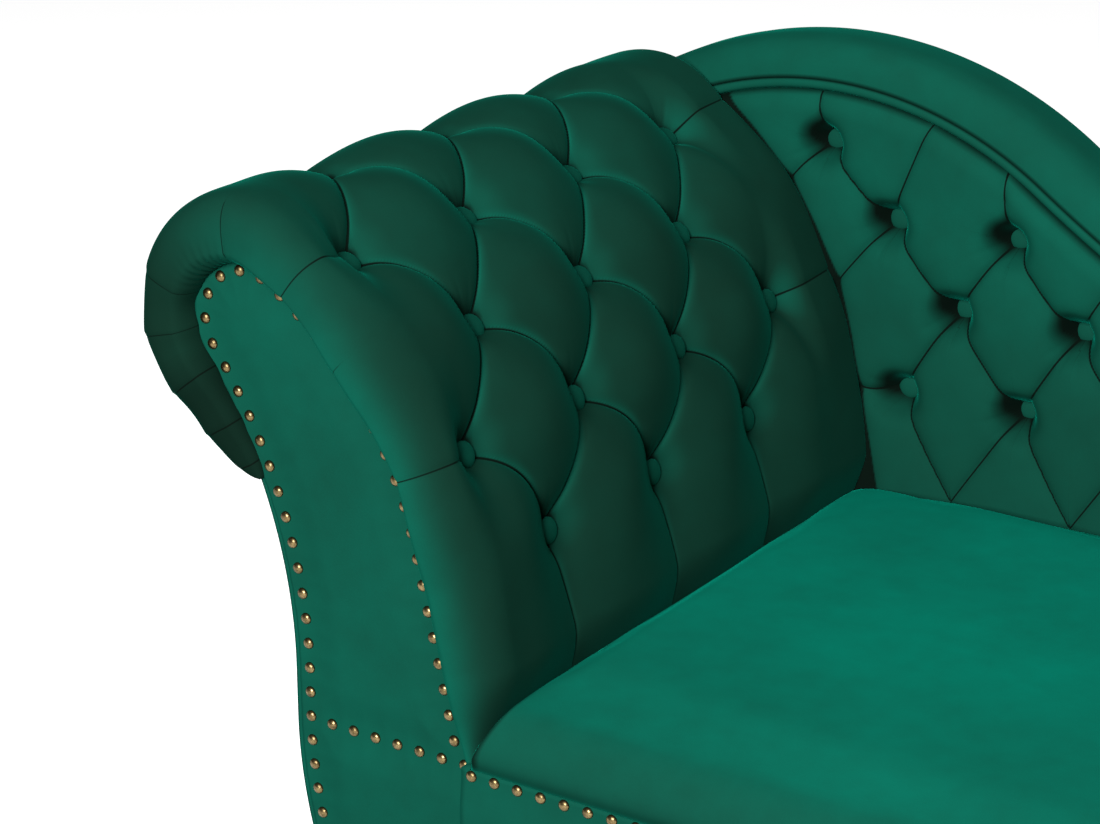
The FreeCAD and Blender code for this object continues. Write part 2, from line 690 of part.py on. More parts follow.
def add_leg(label, x, y):
    """A turned leg: collar, neck, bulb and tapered foot, revolved about its own axis."""
    body = doc.addObject("PartDesign::Body", label)
    sketch = body.newObject("Sketcher::SketchObject", f"{label}_outline")
    plane = next(item for item in body.Origin.OriginFeatures if item.Role == "XZ_Plane")
    sketch.AttachmentSupport = (plane, "")
    sketch.MapMode = "FlatFace"
    top = v.leg_height
    collar = top - v.leg_collar
    neck = collar - v.leg_neck
    bulb = neck - v.leg_shoulder
    bore = v.bolt_radius + v.fit_gap
    deep = top - v.bolt_reach - v.fit_gap
    axis, well, lip = Vector(0, 0, deep), Vector(bore, 0, deep), Vector(bore, 0, top)
    foot = Vector(v.leg_foot_radius, 0, 0)
    ankle = Vector(v.leg_foot_radius, 0, v.leg_ankle)
    throat = Vector(v.leg_neck_radius, 0, neck)
    step = Vector(v.leg_neck_radius, 0, collar)
    ring = Vector(v.leg_top_radius, 0, collar)
    rim = Vector(v.leg_top_radius, 0, top)
    belly = Vector(v.leg_bulb_radius, 0, bulb)
    swell = Vector((3 * v.leg_bulb_radius + v.leg_neck_radius) / 4, 0, (neck + bulb) / 2)
    taper = Vector((2 * v.leg_bulb_radius + 3 * v.leg_foot_radius) / 5, 0, (bulb + v.leg_ankle) / 2)
    outline = chain([Vector(), foot, ankle]) + [(ankle, taper, belly), (belly, swell, throat)]
    outline += chain([throat, step, ring, rim, lip, well, axis, Vector()])
    for edge in outline:
        sketch.addGeometry(flat_curve(edge), False)
    turned = body.newObject("PartDesign::Revolution", f"{label}_turned")
    turned.Profile = sketch
    turned.ReferenceAxis = (sketch, ["V_Axis"])
    turned.Angle = 360
    place(body, x, y, f"{BASE} - leg_height")
    return keep(body, label)


def add_cylinders(label, radius, height, centres, z):
    """Upright round pieces of one size, one for each place, gathered in one node."""
    rods = []
    for index, (x, y) in enumerate(centres):
        rod = doc.addObject("Part::Cylinder", f"{label}_{index}")
        rod.setExpression("Radius", bound(radius))
        rod.setExpression("Height", bound(height))
        place(rod, x, y, z)
        rods.append(rod)
    group = doc.addObject("Part::Compound", label)
    group.Links = rods
    return keep(group, label)


# Seat frame.
RAIL = "base_height - deck_drop"
BED = f"{FOOT_INNER} - ({HEAD})"
add_box("front_rail", (BED, "rail_thickness", RAIL), (HEAD, "facing_thickness", BASE))
add_box("rear_rail", (BED, "rail_thickness", RAIL), (HEAD, POST_FRONT, BASE))
SPAN = f"{POST_FRONT} - ({FRONT})"
add_box("head_rail", ("rail_thickness", SPAN, RAIL), (HEAD, FRONT, BASE))
add_box("foot_rail", ("rail_thickness", SPAN, RAIL), (f"{FOOT_INNER} - rail_thickness", FRONT, BASE))
SPRING_LEFT = f"{HEAD} + rail_thickness"
SPRING_LEVEL = "-deck_drop - spring_rail_height"
SPRING_FRONT = f"{BOARD_FRONT} - rail_thickness"
add_box("spring_rail", (f"{BED} - 2 * rail_thickness", "rail_thickness", "spring_rail_height"),
        (SPRING_LEFT, SPRING_FRONT, SPRING_LEVEL))
add_box("arm_inner_rail", ("rail_thickness", f"{SPRING_FRONT} - ({FRONT})", "spring_rail_height"),
        ("-rail_thickness - cover_overlap", FRONT, SPRING_LEVEL))
for number in range(2):
    add_box(f"cross_brace_{number + 1}", ("rail_thickness", SPAN, "brace_height"),
            (f"brace_first + {number} * brace_spacing", FRONT, f"{SPRING_LEVEL} - brace_height"))

# Legs with their blocks, bolts and glides, one set at each corner.
HEAD_LEG = f"{HEAD} + rail_thickness + block_width / 2"
FOOT_LEG = f"{FOOT_INNER} - rail_thickness - block_width / 2"
FRONT_LEG = f"{FRONT} + block_width / 2"
REAR_LEG = f"{POST_FRONT} - block_width / 2"
CORNERS = {"head_front": (HEAD_LEG, FRONT_LEG), "foot_front": (FOOT_LEG, FRONT_LEG),
           "head_rear": (HEAD_LEG, REAR_LEG), "foot_rear": (FOOT_LEG, REAR_LEG)}
for name, (x, y) in CORNERS.items():
    add_leg(f"leg_{name}", x, y)
    solid = doc.addObject("Part::Box", f"block_solid_{name}")
    bore = doc.addObject("Part::Cylinder", f"block_bore_{name}")
    for side in ("Length", "Width"):
        solid.setExpression(side, "Size.block_width")
    solid.setExpression("Height", "Size.block_height")
    bore.setExpression("Radius", "Size.bolt_radius + Size.fit_gap")
    bore.setExpression("Height", "Size.block_height")
    place(solid, f"{x} - block_width / 2", f"{y} - block_width / 2", BASE)
    place(bore, x, y, BASE)
    block = doc.addObject("Part::Cut", f"corner_block_{name}")
    block.Base = solid
    block.Tool = bore
    keep(block, f"corner_block_{name}")
SPOTS = list(CORNERS.values())
add_cylinders("leg_bolts", "bolt_radius", "2 * bolt_reach", SPOTS, f"{BASE} - bolt_reach")
add_cylinders("leg_glides", "leg_foot_radius - glide_inset", "glide_height", SPOTS,
              f"{BASE} - leg_height - glide_height")

# Dust cover under the frame, cut round the leg collars.
sheet_solid = doc.addObject("Part::Box", "dust_sheet")
sheet_solid.setExpression("Length", bound(BED))
sheet_solid.setExpression("Width", bound(f"{COVER_FRONT} - facing_thickness"))
sheet_solid.setExpression("Height", "Size.dust_thickness")
place(sheet_solid, HEAD, "facing_thickness", f"{BASE} - dust_thickness")
holes = add_cylinders("dust_holes", "leg_top_radius + fit_gap", "dust_thickness", SPOTS,
                      f"{BASE} - dust_thickness")
PARTS.remove(holes)
dust = doc.addObject("Part::Cut", "dust_cover")
dust.Base = sheet_solid
dust.Tool = holes
keep(dust, "dust_cover")

# Arm frame.
DECK = -v.deck_drop
add_pad("arm_front_board", scroll_outline(DECK), "board_thickness", "facing_thickness")
ARM_BOARD_REAR = f"{SPRING_FRONT} - board_thickness - border_setback"
add_pad("arm_rear_board", scroll_outline(DECK), "board_thickness", ARM_BOARD_REAR)
add_pad("arm_facing", scroll_outline(-v.base_height), "facing_thickness", "0")
BOARD_BACK = "facing_thickness + board_thickness"
ARM_SPAN = f"{ARM_BOARD_REAR} - ({BOARD_BACK})"
roll_rail = doc.addObject("Part::Cylinder", "arm_roll_rail")
roll_rail.setExpression("Radius", "Size.roll_rail_radius")
roll_rail.setExpression("Height", bound(ARM_SPAN))
roll_rail.Placement.Rotation = Rotation(Vector(1, 0, 0), -90)
place(roll_rail, "-roll_out", BOARD_BACK, "roll_up")
keep(roll_rail, "arm_roll_rail")
STRETCHER = ("stretcher_width", ARM_SPAN, "stretcher_width")
add_box("arm_outer_stretcher", STRETCHER,
        ("-arm_width + cover_thickness", BOARD_BACK, "roll_up / 3"))
add_box("arm_inner_stretcher", STRETCHER,
        ("-roll_up / 4.5", BOARD_BACK, "roll_up / 3"))
lining = inner_edges(-v.fit_gap, 0)[:2]
under = [edge[::-1] for edge in reversed(inner_edges(-v.fit_gap - v.lining_thickness, 0)[:2])]
strip = lining + [line(lining[-1][2], under[0][0])] + under + [line(under[-1][2], lining[0][0])]
arm_front = v.facing_thickness + v.board_thickness
arm_rear = v.seat_depth + v.back_pad - v.rail_thickness - v.board_thickness - v.border_setback
add_shape("arm_lining", slab(strip, arm_front, arm_rear - arm_front))

# Outside cover of the arm, from under the roll to the underside of the frame.
skin = outer_edges(v.fit_gap, -v.base_height)
skin_out = [edge[::-1] for edge in reversed(outer_edges(v.cover_thickness, -v.base_height))]
tuck_down = skin + [line(skin[-1][2], skin_out[0][0])] + skin_out + [line(skin_out[-1][2], skin[0][0])]
cover_front = v.seat_depth + v.back_pad + v.back_board + v.rail_thickness
tuck_level = Part.makeBox(4 * v.arm_width, 3 * cover_front, v.base_height + v.tuck_up - v.tuck_gap,
                          Vector(-3 * v.arm_width, -v.seat_depth, -v.base_height))
add_shape("arm_outside_cover", slab(tuck_down, 0, cover_front).common(tuck_level))

# Arm padding and its buttons and nails.
arm_tufts = arm_pad_shape()
add_shape("arm_tufted_pad", arm_tufts)
add_shape("arm_buttons", arm_buttons(arm_tufts))
add_shape("arm_facing_nails", facing_nails())

# Back frame: plywood board, curved top rail and posts on the rear rail.
board_low = -v.deck_drop - v.spring_rail_height
top_edges = crown_line(-v.border_cap, board_low)
left_edges = outer_edges(0, board_low)
board_outline = top_edges + [line(top_edges[-1][2], left_edges[-1][2])]
board_outline += [edge[::-1] for edge in reversed(left_edges)]
board_outline.append(line(left_edges[0][0], top_edges[0][0]))
add_pad("back_board", board_outline, "back_board", BOARD_FRONT)
rail_band = band(-v.border_cap, -v.border_cap - v.top_rail_width, DECK)
add_pad("back_top_rail", rail_band, "rail_thickness", POST_FRONT)
below_rail = crown_line(-v.border_cap - v.top_rail_width, DECK)
post_front = v.seat_depth + v.back_pad + v.back_board
post_last = below_rail[-1][2].x - v.post_width
for number in range(POST_COUNT):
    x = v.post_first + (post_last - v.post_first) * number / (POST_COUNT - 1)
    top = min(height_at(below_rail, x), height_at(below_rail, x + v.post_width - v.fit_gap)) - v.fit_gap
    corner = Vector(x, post_front, DECK)
    post = Part.makeBox(v.post_width, v.rail_thickness, top - DECK, corner)
    add_shape(f"back_post_{number + 1}", post)
tack_left = v.arm_pad + v.seat_skin
tack_corner = Vector(tack_left, v.seat_depth + v.back_pad - v.tack_thickness, DECK)
tack_size = (BACK_RIGHT - tack_left, v.tack_thickness, v.tack_up - DECK)
add_shape("back_tack_rail", Part.makeBox(*tack_size, tack_corner))

# Back padding, border, piping and buttons.
back_tufts = back_pad_shape()
add_shape("back_tufted_pad", back_tufts)
add_shape("back_border", border_shape())
add_shape("back_welt", welt_shape())
add_shape("back_buttons", back_buttons(back_tufts))

# Outside back cover over the whole rear, low behind the foot end of the seat.
hem = -v.base_height
foot_x = v.seat_length - v.nail_height - v.band_proud
rim = crown_line(-v.border_cap, v.cover_overlap)
side = outer_edges(0, hem)
cover = rim + chain([rim[-1][2], Vector(foot_x, 0, v.cover_overlap), Vector(foot_x, 0, hem), side[-1][2]])
cover += [edge[::-1] for edge in reversed(side)] + [line(side[0][0], rim[0][0])]
add_pad("back_outside_cover", cover, "cover_thickness", COVER_FRONT)

# Padded bands round the seat rails.
BAND = "base_height + cover_overlap"
add_box("front_band", (f"{FOOT_INNER} - fit_gap", "band_proud + facing_thickness", BAND),
        ("fit_gap", "-band_proud", BASE))
add_box("foot_band", ("band_proud", f"{COVER_FRONT} + cover_thickness + band_proud", BAND),
        (FOOT_INNER, "-band_proud", BASE))
add_shape("band_nails", band_nails())

# Seat: zigzag springs in clips, felt, foam and cover.
add_shape("seat_springs", Part.makeCompound([zigzag(x) for x in spring_places()]))
add_shape("spring_clips", spring_clips())
felt_left = SEAT_FOAM_LEFT
felt = doc.addObject("Part::Box", "seat_felt")
felt.Length = foot_x - v.rail_thickness - felt_left
felt.setExpression("Width", bound(f"{SPRING_FRONT} - facing_thickness"))
felt.setExpression("Height", "Size.felt_thickness")
place(felt, f"{felt_left}", "facing_thickness", "spring_wire + 2 * fit_gap - deck_drop")
keep(felt, "seat_felt")
seat_foam = seat_foam_shape()
add_shape("seat_foam", seat_foam)
add_shape("seat_cover", seat_cover_shape(seat_foam))

doc.recompute()
for thing in doc.Objects:
    if {"Invalid", "Error"} & set(thing.State):
        raise RuntimeError(f"{thing.Label} failed: {thing.State}")
os.makedirs("parts", exist_ok=True)
for thing in PARTS:
    if thing.Shape.isNull() or not thing.Shape.isValid():
        raise RuntimeError(f"{thing.Label} has no valid shape")
    thing.Shape.exportStep(f"parts/{thing.Label}.step")
    print(thing.Label, len(thing.Shape.Solids), round(thing.Shape.Volume / 1000))
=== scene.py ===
import math

import bmesh
import bpy
import numpy as np
from mathutils import Matrix, Vector


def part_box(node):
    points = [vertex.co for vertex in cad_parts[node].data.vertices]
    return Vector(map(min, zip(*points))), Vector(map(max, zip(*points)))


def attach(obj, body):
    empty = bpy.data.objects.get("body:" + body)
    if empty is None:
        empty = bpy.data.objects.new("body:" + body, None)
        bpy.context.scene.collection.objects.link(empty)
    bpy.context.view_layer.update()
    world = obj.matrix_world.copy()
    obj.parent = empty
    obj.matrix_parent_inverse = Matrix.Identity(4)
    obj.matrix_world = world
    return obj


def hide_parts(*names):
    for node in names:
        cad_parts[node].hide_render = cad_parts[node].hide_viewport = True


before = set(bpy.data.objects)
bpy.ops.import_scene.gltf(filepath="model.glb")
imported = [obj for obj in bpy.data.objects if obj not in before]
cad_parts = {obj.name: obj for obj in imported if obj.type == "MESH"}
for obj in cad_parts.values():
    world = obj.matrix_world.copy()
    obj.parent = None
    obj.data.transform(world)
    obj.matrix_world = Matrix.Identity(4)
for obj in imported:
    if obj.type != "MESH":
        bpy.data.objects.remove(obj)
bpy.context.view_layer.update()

bl_info = {
    "name": "Chesterfield chaise longue",
    "version": (1, 0, 0),
    "blender": (4, 5, 0),
    "location": "View3D > Sidebar > Chaise",
    "description": "Upholsters the frame of a deep-buttoned chaise longue in velvet",
    "category": "Object",
}

# The local corner, where the arm facing meets the seat rail at the height of the nail row.
FACING_LOW, FACING_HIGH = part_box("arm_facing")
NAILS_LOW, NAILS_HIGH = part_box("band_nails")
CORNER = Vector((FACING_HIGH.x, FACING_LOW.y, (NAILS_LOW.z + NAILS_HIGH.z) / 2))

# Mesh rows from one button row to the next, so that every fold runs along mesh points.
MESH_STEPS = 46
BACK_STEPS = 34
# Height of the mesh rows of the back.
BACK_ROW = 0.0021
# Mesh columns from the first button column to where the front edge starts to round.
NOSE_STEPS = 14
ROWS_OF_ARM = 5
COLUMNS_OF_ARM = 7
# Share of the front nose that lies above its foremost line.
NOSE_UPPER = 0.62
# How far a nail draws in the panel round it.
NAIL_REACH = 0.030
# Height of the small creases that run out from the buttons of the arm and of the back.
ARM_CREASE = 0.0006
BACK_CREASE = 0.0012
# Unevenness of hand-laid padding.
UNEVEN = 0.0007
# Rounding of the seat's corner between the arm and the back.
SEAT_CORNER = 0.028
# How far the seat presses into the padding of the arm and of the back.
ARM_PRESS = 0.004
BACK_PRESS = 0.003
# Steps of the cloth run that swells the seat.
SWELL_STEPS = 15
# Room between a cover and the piece of the frame or the piping beside it.
CLEAR = 0.0006
# Distance in millimetres from the nearest fold, for places that no fold comes near.
NO_CREASE = 100.0


def length(name, value, text):
    return bpy.props.FloatProperty(name=name, description=text, default=value, unit="LENGTH")


def angle(name, degrees, text):
    return bpy.props.FloatProperty(
        name=name, description=text, default=math.radians(degrees), subtype="ANGLE")


def number(name, value, text):
    return bpy.props.FloatProperty(name=name, description=text, default=value)


def colour(name, value, text):
    return bpy.props.FloatVectorProperty(
        name=name, description=text, default=value, size=3, min=0.0, max=1.0, subtype="COLOR")


class ChaiseSizes(bpy.types.PropertyGroup):
    roll_out: length("Roll out", 0.205, "Centre of the arm roll outside the seat corner")
    roll_up: length("Roll up", 0.320, "Centre of the arm roll above the nail row")
    lobe_radius: length("Lobe", 0.052, "Round end of the scroll board")
    inner_lean: angle("Inner lean", 12.7, "Lean of the straight inner edge")
    inner_radius: length("Inner bend", 0.306, "Curve from the straight edge into the roll")
    outer_radius: length("Hollow", 0.409, "Hollow curve under the roll")
    arm_width: length("Arm width", 0.164, "Arm at the nail row")
    base_radius: length("Base curve", 0.400, "Inward curve of the arm below the nail row")
    base_height: length("Base height", 0.190, "Underside of the frame up to the nail row")
    tuck_up: length("Tuck", 0.196, "Where the roll tucks in under, above the nail row")
    arm_pad: length("Arm padding", 0.050, "Padding over the scroll board at the crowns")
    arm_pad_foot: length("Foot padding", 0.042, "Padding where the arm meets the seat")
    arm_pad_roll: length("Roll padding", 0.053, "Padding over the roll")
    arm_seam: length("Arm seam", 0.004, "Lower edge of the arm padding, along the arm")
    arm_rear_round: length("Arm rear", 0.009, "Rounding of the arm padding against the back")
    pillow_depth: length("Pillow depth", 0.0255, "Buttons of the arm below the crowns around them")
    nose_run: length("Nose", 0.090, "Cover from the flat of the arm round to the facing")
    nose_bulge: length("Nose bulge", 0.020, "Padding rolled forward over the front of the arm")
    arm_row_first: length("First arm row", 0.150, "Lowest button row, along the arm")
    arm_row_step: length("Arm rows", 0.087, "Spacing of the button rows of the arm")
    arm_column_first: length("First arm column", 0.047, "First button column behind the facing")
    arm_column_step: length("Arm columns", 0.077, "Half the spacing of the columns of the arm")
    seat_depth: length("Seat depth", 0.585, "Arm facing back to the crowns of the back pad")
    back_pad: length("Back padding", 0.050, "Back padding over the back board at the crowns")
    back_column_first: length("First back column", -0.029, "First button column, in the top row")
    back_column_step: length("Back columns", 0.058, "Half the spacing of the columns of the back")
    back_column_shift: length("Column shift", 0.009, "Each row further towards the foot")
    back_row_first: length("First back row", 0.360, "Top button row above the nail row")
    back_row_step: length("Back rows", 0.060, "Spacing of the back rows at the top")
    back_row_growth: length("Row growth", 0.0045, "How the row spacing grows downwards")
    shoulder_radius: length("Shoulder", 0.078, "Shoulder of the back behind the arm roll")
    hump_rise: length("Hump rise", 0.053, "Top of the back above its shoulder")
    hump_out: length("Hump out", 0.175, "Top of the back from the centre of the roll")
    sweep_slope: angle("Sweep slope", 36.0, "Steepest slope of the sweep")
    sweep_radius: length("Sweep", 1.250, "Hollow sweep of the back")
    end_slope: angle("End slope", 6.0, "Slope where the sweep ends")
    end_radius: length("End", 0.066, "Rounded foot end of the back")
    border_lip: length("Border", 0.034, "Plain border in front of the back")
    border_cap: length("Border cap", 0.016, "Border padding over the top rail")
    border_setback: length("Border setback", 0.015, "Border behind the crowns of the back pad")
    welt_radius: length("Piping", 0.0045, "Piping under the border")
    seat_rise: length("Seat rise", 0.047, "Corners of the seat above the nail row")
    seat_bow: length("Seat bow", 0.012, "How far the edges of the seat rise between its corners")
    fold_bow: length("Fold bow", 0.010, "How far a fold of the arm arches between its buttons")
    seat_crown: length("Seat crown", 0.007, "Extra height in the middle of the seat")
    seat_front: length("Seat front", 0.034, "How far back the rounded front of the seat reaches")
    seat_side: length("Seat side", 0.006, "Rounding of the seat against the arm and the back")
    band_proud: length("Band", 0.012, "Front band before the arm facing")
    cover_thickness: length("Covers", 0.006, "Padded outside covers")
    cover_overlap: length("Cover overlap", 0.005, "Bands and covers above the nail row")
    facing_thickness: length("Facing", 0.007, "Arm facing panel")
    panel_puff: length("Panel puff", 0.0028, "Padding in the middle of a nailed panel")
    nail_radius: length("Nail radius", 0.0048, "Domed heads of the nails")
    nail_height: length("Nail height", 0.0032, "Domed heads of the nails")
    button_radius: length("Button radius", 0.011, "Covered buttons")
    button_height: length("Button height", 0.006, "Covered buttons")


class ChaiseColours(bpy.types.PropertyGroup):
    # Painted light and shade: the velvet colour below is the lit copy of the pile colour and the next one
    # its shaded copy; each piece mixes them by how lit it is painted.
    velvet: colour("Velvet", (0.0016, 0.141, 0.0935), "Pile that lies along the view")
    velvet_painted_shade: colour("Velvet shade", (0.0042, 0.0185, 0.0118), "Pile seen into from its tips")
    # Painted shade: this dark colour goes into the folds, the button pits, the tucked edges and along the
    # piping.
    velvet_painted_fold_shade: colour("Velvet in folds", (0.0026, 0.0060, 0.0042), "Pile deep in the folds")
    velvet_sheen: colour("Velvet sheen", (0.004, 0.60, 0.40), "Light along the pile")
    brass: colour("Nails", (0.23, 0.165, 0.075), "Antique brass of the nails")
    brass_dark: colour("Nail patina", (0.045, 0.031, 0.013), "Patina in the hollows of the nails")
    leg_wood: colour("Legs", (0.060, 0.026, 0.012), "Dark stain of the legs")
    frame_wood: colour("Frame", (0.52, 0.37, 0.22), "Raw timber of the frame")
    floor: colour("Floor", (0.92, 0.92, 0.92), "Studio floor")


class ChaiseView(bpy.types.PropertyGroup):
    azimuth: angle("Azimuth", 33.75, "View from the right of the front")
    elevation: angle("Elevation", 19.85, "View from above")
    lens: number("Lens", 91.8, "Focal length in millimetres on a 36 mm frame")
    aim: bpy.props.FloatVectorProperty(
        name="Aim", description="Middle of the picture, from the local corner",
        default=(0.0257, 0.0718, 0.2728), unit="LENGTH")
    distance: length("Distance", 2.1, "Camera to the middle of the picture")


def ease(value):
    """Smooth step from 0 to 1."""
    value = np.clip(value, 0.0, 1.0)
    return value * value * (3 - 2 * value)


def ramp(value, start, run):
    """Smooth step that begins at a start and is complete a run further on."""
    return ease((value - start) / run)


def near(distance, reach):
    """1 at an edge, falling to 0 at a reach from it."""
    return np.clip(1 - distance / reach, 0, 1)


def rounded(edge):
    """Quarter-round fall of a cover, by how near an edge is."""
    return 1 - np.sqrt(1 - 0.98 * edge ** 2)


def settle(value, most, soft=0.08):
    """Hold a lattice place between 0 and the last row or column, with a soft start."""
    value = (value + np.sqrt(value ** 2 + soft ** 2)) / 2
    rest = most - value
    return most - (rest + np.sqrt(rest ** 2 + soft ** 2)) / 2


class Scroll:
    """The bare arm seen from the front: straight inner edge, bend, roll and hollow under it."""

    def __init__(self, size):
        self.size = size
        self.middle = size.arm_pad / 2
        lean = size.inner_lean
        up = Vector((-math.sin(lean), math.cos(lean)))
        inward = Vector((-math.cos(lean), -math.sin(lean)))
        self.lobe = Vector((-size.roll_out, size.roll_up))
        away = inward * size.inner_radius - self.lobe
        half = away.dot(up)
        reach = (size.inner_radius - size.lobe_radius) ** 2
        straight = -half - math.sqrt(half ** 2 - away.dot(away) + reach)
        self.inner = up * straight + inward * size.inner_radius
        across = size.roll_out - size.arm_width - size.outer_radius
        fall = math.sqrt((size.outer_radius + size.lobe_radius) ** 2 - across ** 2)
        self.outer = Vector((-size.arm_width - size.outer_radius, size.roll_up - fall))
        self.crown = math.atan2(self.lobe.y - self.inner.y, self.lobe.x - self.inner.x)
        self.hollow = math.atan2(self.lobe.y - self.outer.y, self.lobe.x - self.outer.x)
        self.meet = self.outer.y + size.outer_radius * math.sin(self.hollow)
        self.tuck = math.asin((size.tuck_up - self.outer.y) / size.outer_radius)
        bend_end = straight + (size.inner_radius + self.middle) * (self.crown - lean)
        roll_end = bend_end + (size.lobe_radius + self.middle) * (math.pi + self.hollow - self.crown)
        tuck_end = roll_end + (size.outer_radius - self.middle) * (self.hollow - self.tuck)
        self.stops = (straight, bend_end, roll_end, tuck_end)

    def place(self, along):
        """X, Z and outward angle of the bare arm at distances along the padding."""
        size = self.size
        straight, bend_end, roll_end, _ = self.stops
        lean = size.inner_lean
        bend = lean + (along - straight) / (size.inner_radius + self.middle)
        roll = self.crown + (along - bend_end) / (size.lobe_radius + self.middle)
        dive = math.pi + self.hollow - (along - roll_end) / (size.outer_radius - self.middle)
        where = [along < straight, along < bend_end, along < roll_end]
        turn = np.select(where, [np.full_like(along, lean), bend, roll], dive)
        x = np.select(where, [-math.sin(lean) * along,
                              self.inner.x + size.inner_radius * np.cos(bend),
                              self.lobe.x + size.lobe_radius * np.cos(roll)],
                      self.outer.x - size.outer_radius * np.cos(dive))
        z = np.select(where, [math.cos(lean) * along,
                              self.inner.y + size.inner_radius * np.sin(bend),
                              self.lobe.y + size.lobe_radius * np.sin(roll)],
                      self.outer.y - size.outer_radius * np.sin(dive))
        return x, z, turn

    def clearance(self, x, z):
        """Distance of a place on the back from the face of the arm padding."""
        size = self.size
        lean = size.inner_lean
        flat = x * math.cos(lean) + z * math.sin(lean)
        bent = np.hypot(x - self.inner.x, z - self.inner.y) - size.inner_radius
        on_bend = np.arctan2(z - self.inner.y, x - self.inner.x) > lean
        return np.where(on_bend, bent, flat) - size.arm_pad

    def outside(self, heights):
        """X of the outer edge at heights from the underside up to the roll."""
        size = self.size
        base = size.base_radius - size.arm_width - np.sqrt(
            size.base_radius ** 2 - np.minimum(heights, 0) ** 2)
        rise = np.maximum(heights - self.outer.y, 0)
        hollow = self.outer.x + np.sqrt(size.outer_radius ** 2 - np.minimum(rise, size.outer_radius) ** 2)
        return np.where(heights < 0, base, hollow)


class CrownLine:
    """Top outline of the back: shoulder, hump, hollow sweep, rounded end and the drop beside it."""

    def __init__(self, size, scroll):
        lobe = scroll.lobe
        rise = size.hump_rise + size.shoulder_radius
        radius = (size.hump_out ** 2 + rise ** 2 - size.shoulder_radius ** 2) / (2 * size.hump_rise)
        hump = lobe + Vector((size.hump_out, rise - radius))
        meet = math.atan2(lobe.y - hump.y, lobe.x - hump.x)
        bend = math.pi / 2 - size.sweep_slope
        level = math.pi / 2 - size.end_slope
        far = radius + size.sweep_radius
        sweep = hump + Vector((math.cos(bend), math.sin(bend))) * far
        far = size.sweep_radius + size.end_radius
        end = sweep - Vector((math.cos(level), math.sin(level))) * far
        self.arcs = ((lobe, size.shoulder_radius, math.radians(205), meet),
                     (hump, radius, meet, bend),
                     (sweep, -size.sweep_radius, bend, level),
                     (end, size.end_radius, level, 0.0))
        self.end_x = end.x + size.end_radius

    def path(self, offset, low, step=0.004):
        """Points and outward directions along the outline, moved out by an offset."""
        places, turns = [], []
        for centre, radius, first, last in self.arcs:
            count = max(2, int(abs(radius * (first - last)) / step))
            turn = np.linspace(first, last, count, endpoint=False)
            spoke = radius + offset
            places.append(np.stack([centre.x + spoke * np.cos(turn),
                                    centre.y + spoke * np.sin(turn)], 1))
            turns.append(turn)
        last_z = self.arcs[-1][0].y
        count = max(2, int((last_z - low) / step))
        drop = np.linspace(last_z, low, count)
        places.append(np.stack([np.full(count, self.end_x + offset), drop], 1))
        turns.append(np.zeros(count))
        return np.concatenate(places), np.concatenate(turns)

    def height(self, offset, x):
        """Height of the outline over places along the chaise."""
        places, turns = self.path(offset, 0.0, 0.001)
        rising = np.concatenate([[True], np.diff(np.maximum.accumulate(places[:, 0])) > 0])
        return np.interp(x, places[rising, 0], places[rising, 1])


class Tufts:
    """Buttons and folds on an unrolled pad, how far they draw the cover in, and the shade painted in them.

    A fold is (start, end, force at its start, force at its end, share of the swell it makes).
    """

    # shade, the offset beside the buttons and hollow set painted shade: how dark the spot beside each
    # button is, where it lies from the button, and the radius of a dark disc over the lip round it.
    def __init__(self, buttons, folds, slit, slit_width, well, well_width, shade, painted_shade_offset, hollow,
                 swell=0.0, swell_width=0.05):
        self.buttons = buttons
        self.folds = folds
        self.slit = slit
        self.slit_width = slit_width
        self.well = well
        self.well_width = well_width
        self.shade = shade
        self.painted_shade_offset = painted_shade_offset
        self.hollow = hollow
        self.swell = swell
        self.swell_width = swell_width

    def depth(self, u, v):
        """How far the cover lies below the crowns, how much painted shade each place gets from the folds
        and from the dark spots at the buttons, and its distance in millimetres from the nearest fold, with
        a sign for the side it lies on.
        """
        swell = np.zeros_like(u)
        slit = np.zeros_like(u)
        crease = np.full_like(u, NO_CREASE)
        for start, end, first, last, full in self.folds:
            run = (end[0] - start[0], end[1] - start[1])
            reach = run[0] ** 2 + run[1] ** 2
            part = ((u - start[0]) * run[0] + (v - start[1]) * run[1]) / reach
            part = np.clip(part, 0.0, 1.0)
            away = np.hypot(u - start[0] - part * run[0], v - start[1] - part * run[1])
            force = first + (last - first) * part
            side = np.where((u - start[0]) * run[1] < (v - start[1]) * run[0], -1000, 1000)
            aside = side * away / np.sqrt(force)
            crease = np.where(np.abs(aside) < np.abs(crease), aside, crease)
            slope = near(away, self.swell_width)
            swell += (full * force * (1 - np.sqrt(1 - slope ** 2))) ** 4
            slit = np.maximum(slit, force * np.exp(-away / self.slit_width))
        swell = swell ** 0.25
        well = np.zeros_like(u)
        # Painted shade: a dark spot beside each button, standing in for the shaded pit, and a dark disc
        # over the lit lip round it.
        dark = np.zeros_like(u)
        shift = 0.3 * self.hollow
        for a, b in self.buttons:
            away = np.hypot(u - a, v - b)
            well = np.maximum(well, np.exp(-(away / self.well_width) ** 2.0))
            beside = np.hypot(u - a - self.painted_shade_offset[0], v - b - self.painted_shade_offset[1])
            dark = np.maximum(dark, self.shade * np.exp(-(beside / self.well_width) ** 2.0))
            lip = np.hypot(u - a - shift, v - b - shift)
            dark = np.maximum(dark, np.exp(-(lip / self.hollow) ** 6))
        depth = self.swell * swell + self.slit * slit + self.well * well
        # The painted shade is half the slit of each fold plus the dark spots.
        return depth, np.clip(0.5 * slit + dark, 0.0, 1.0), crease


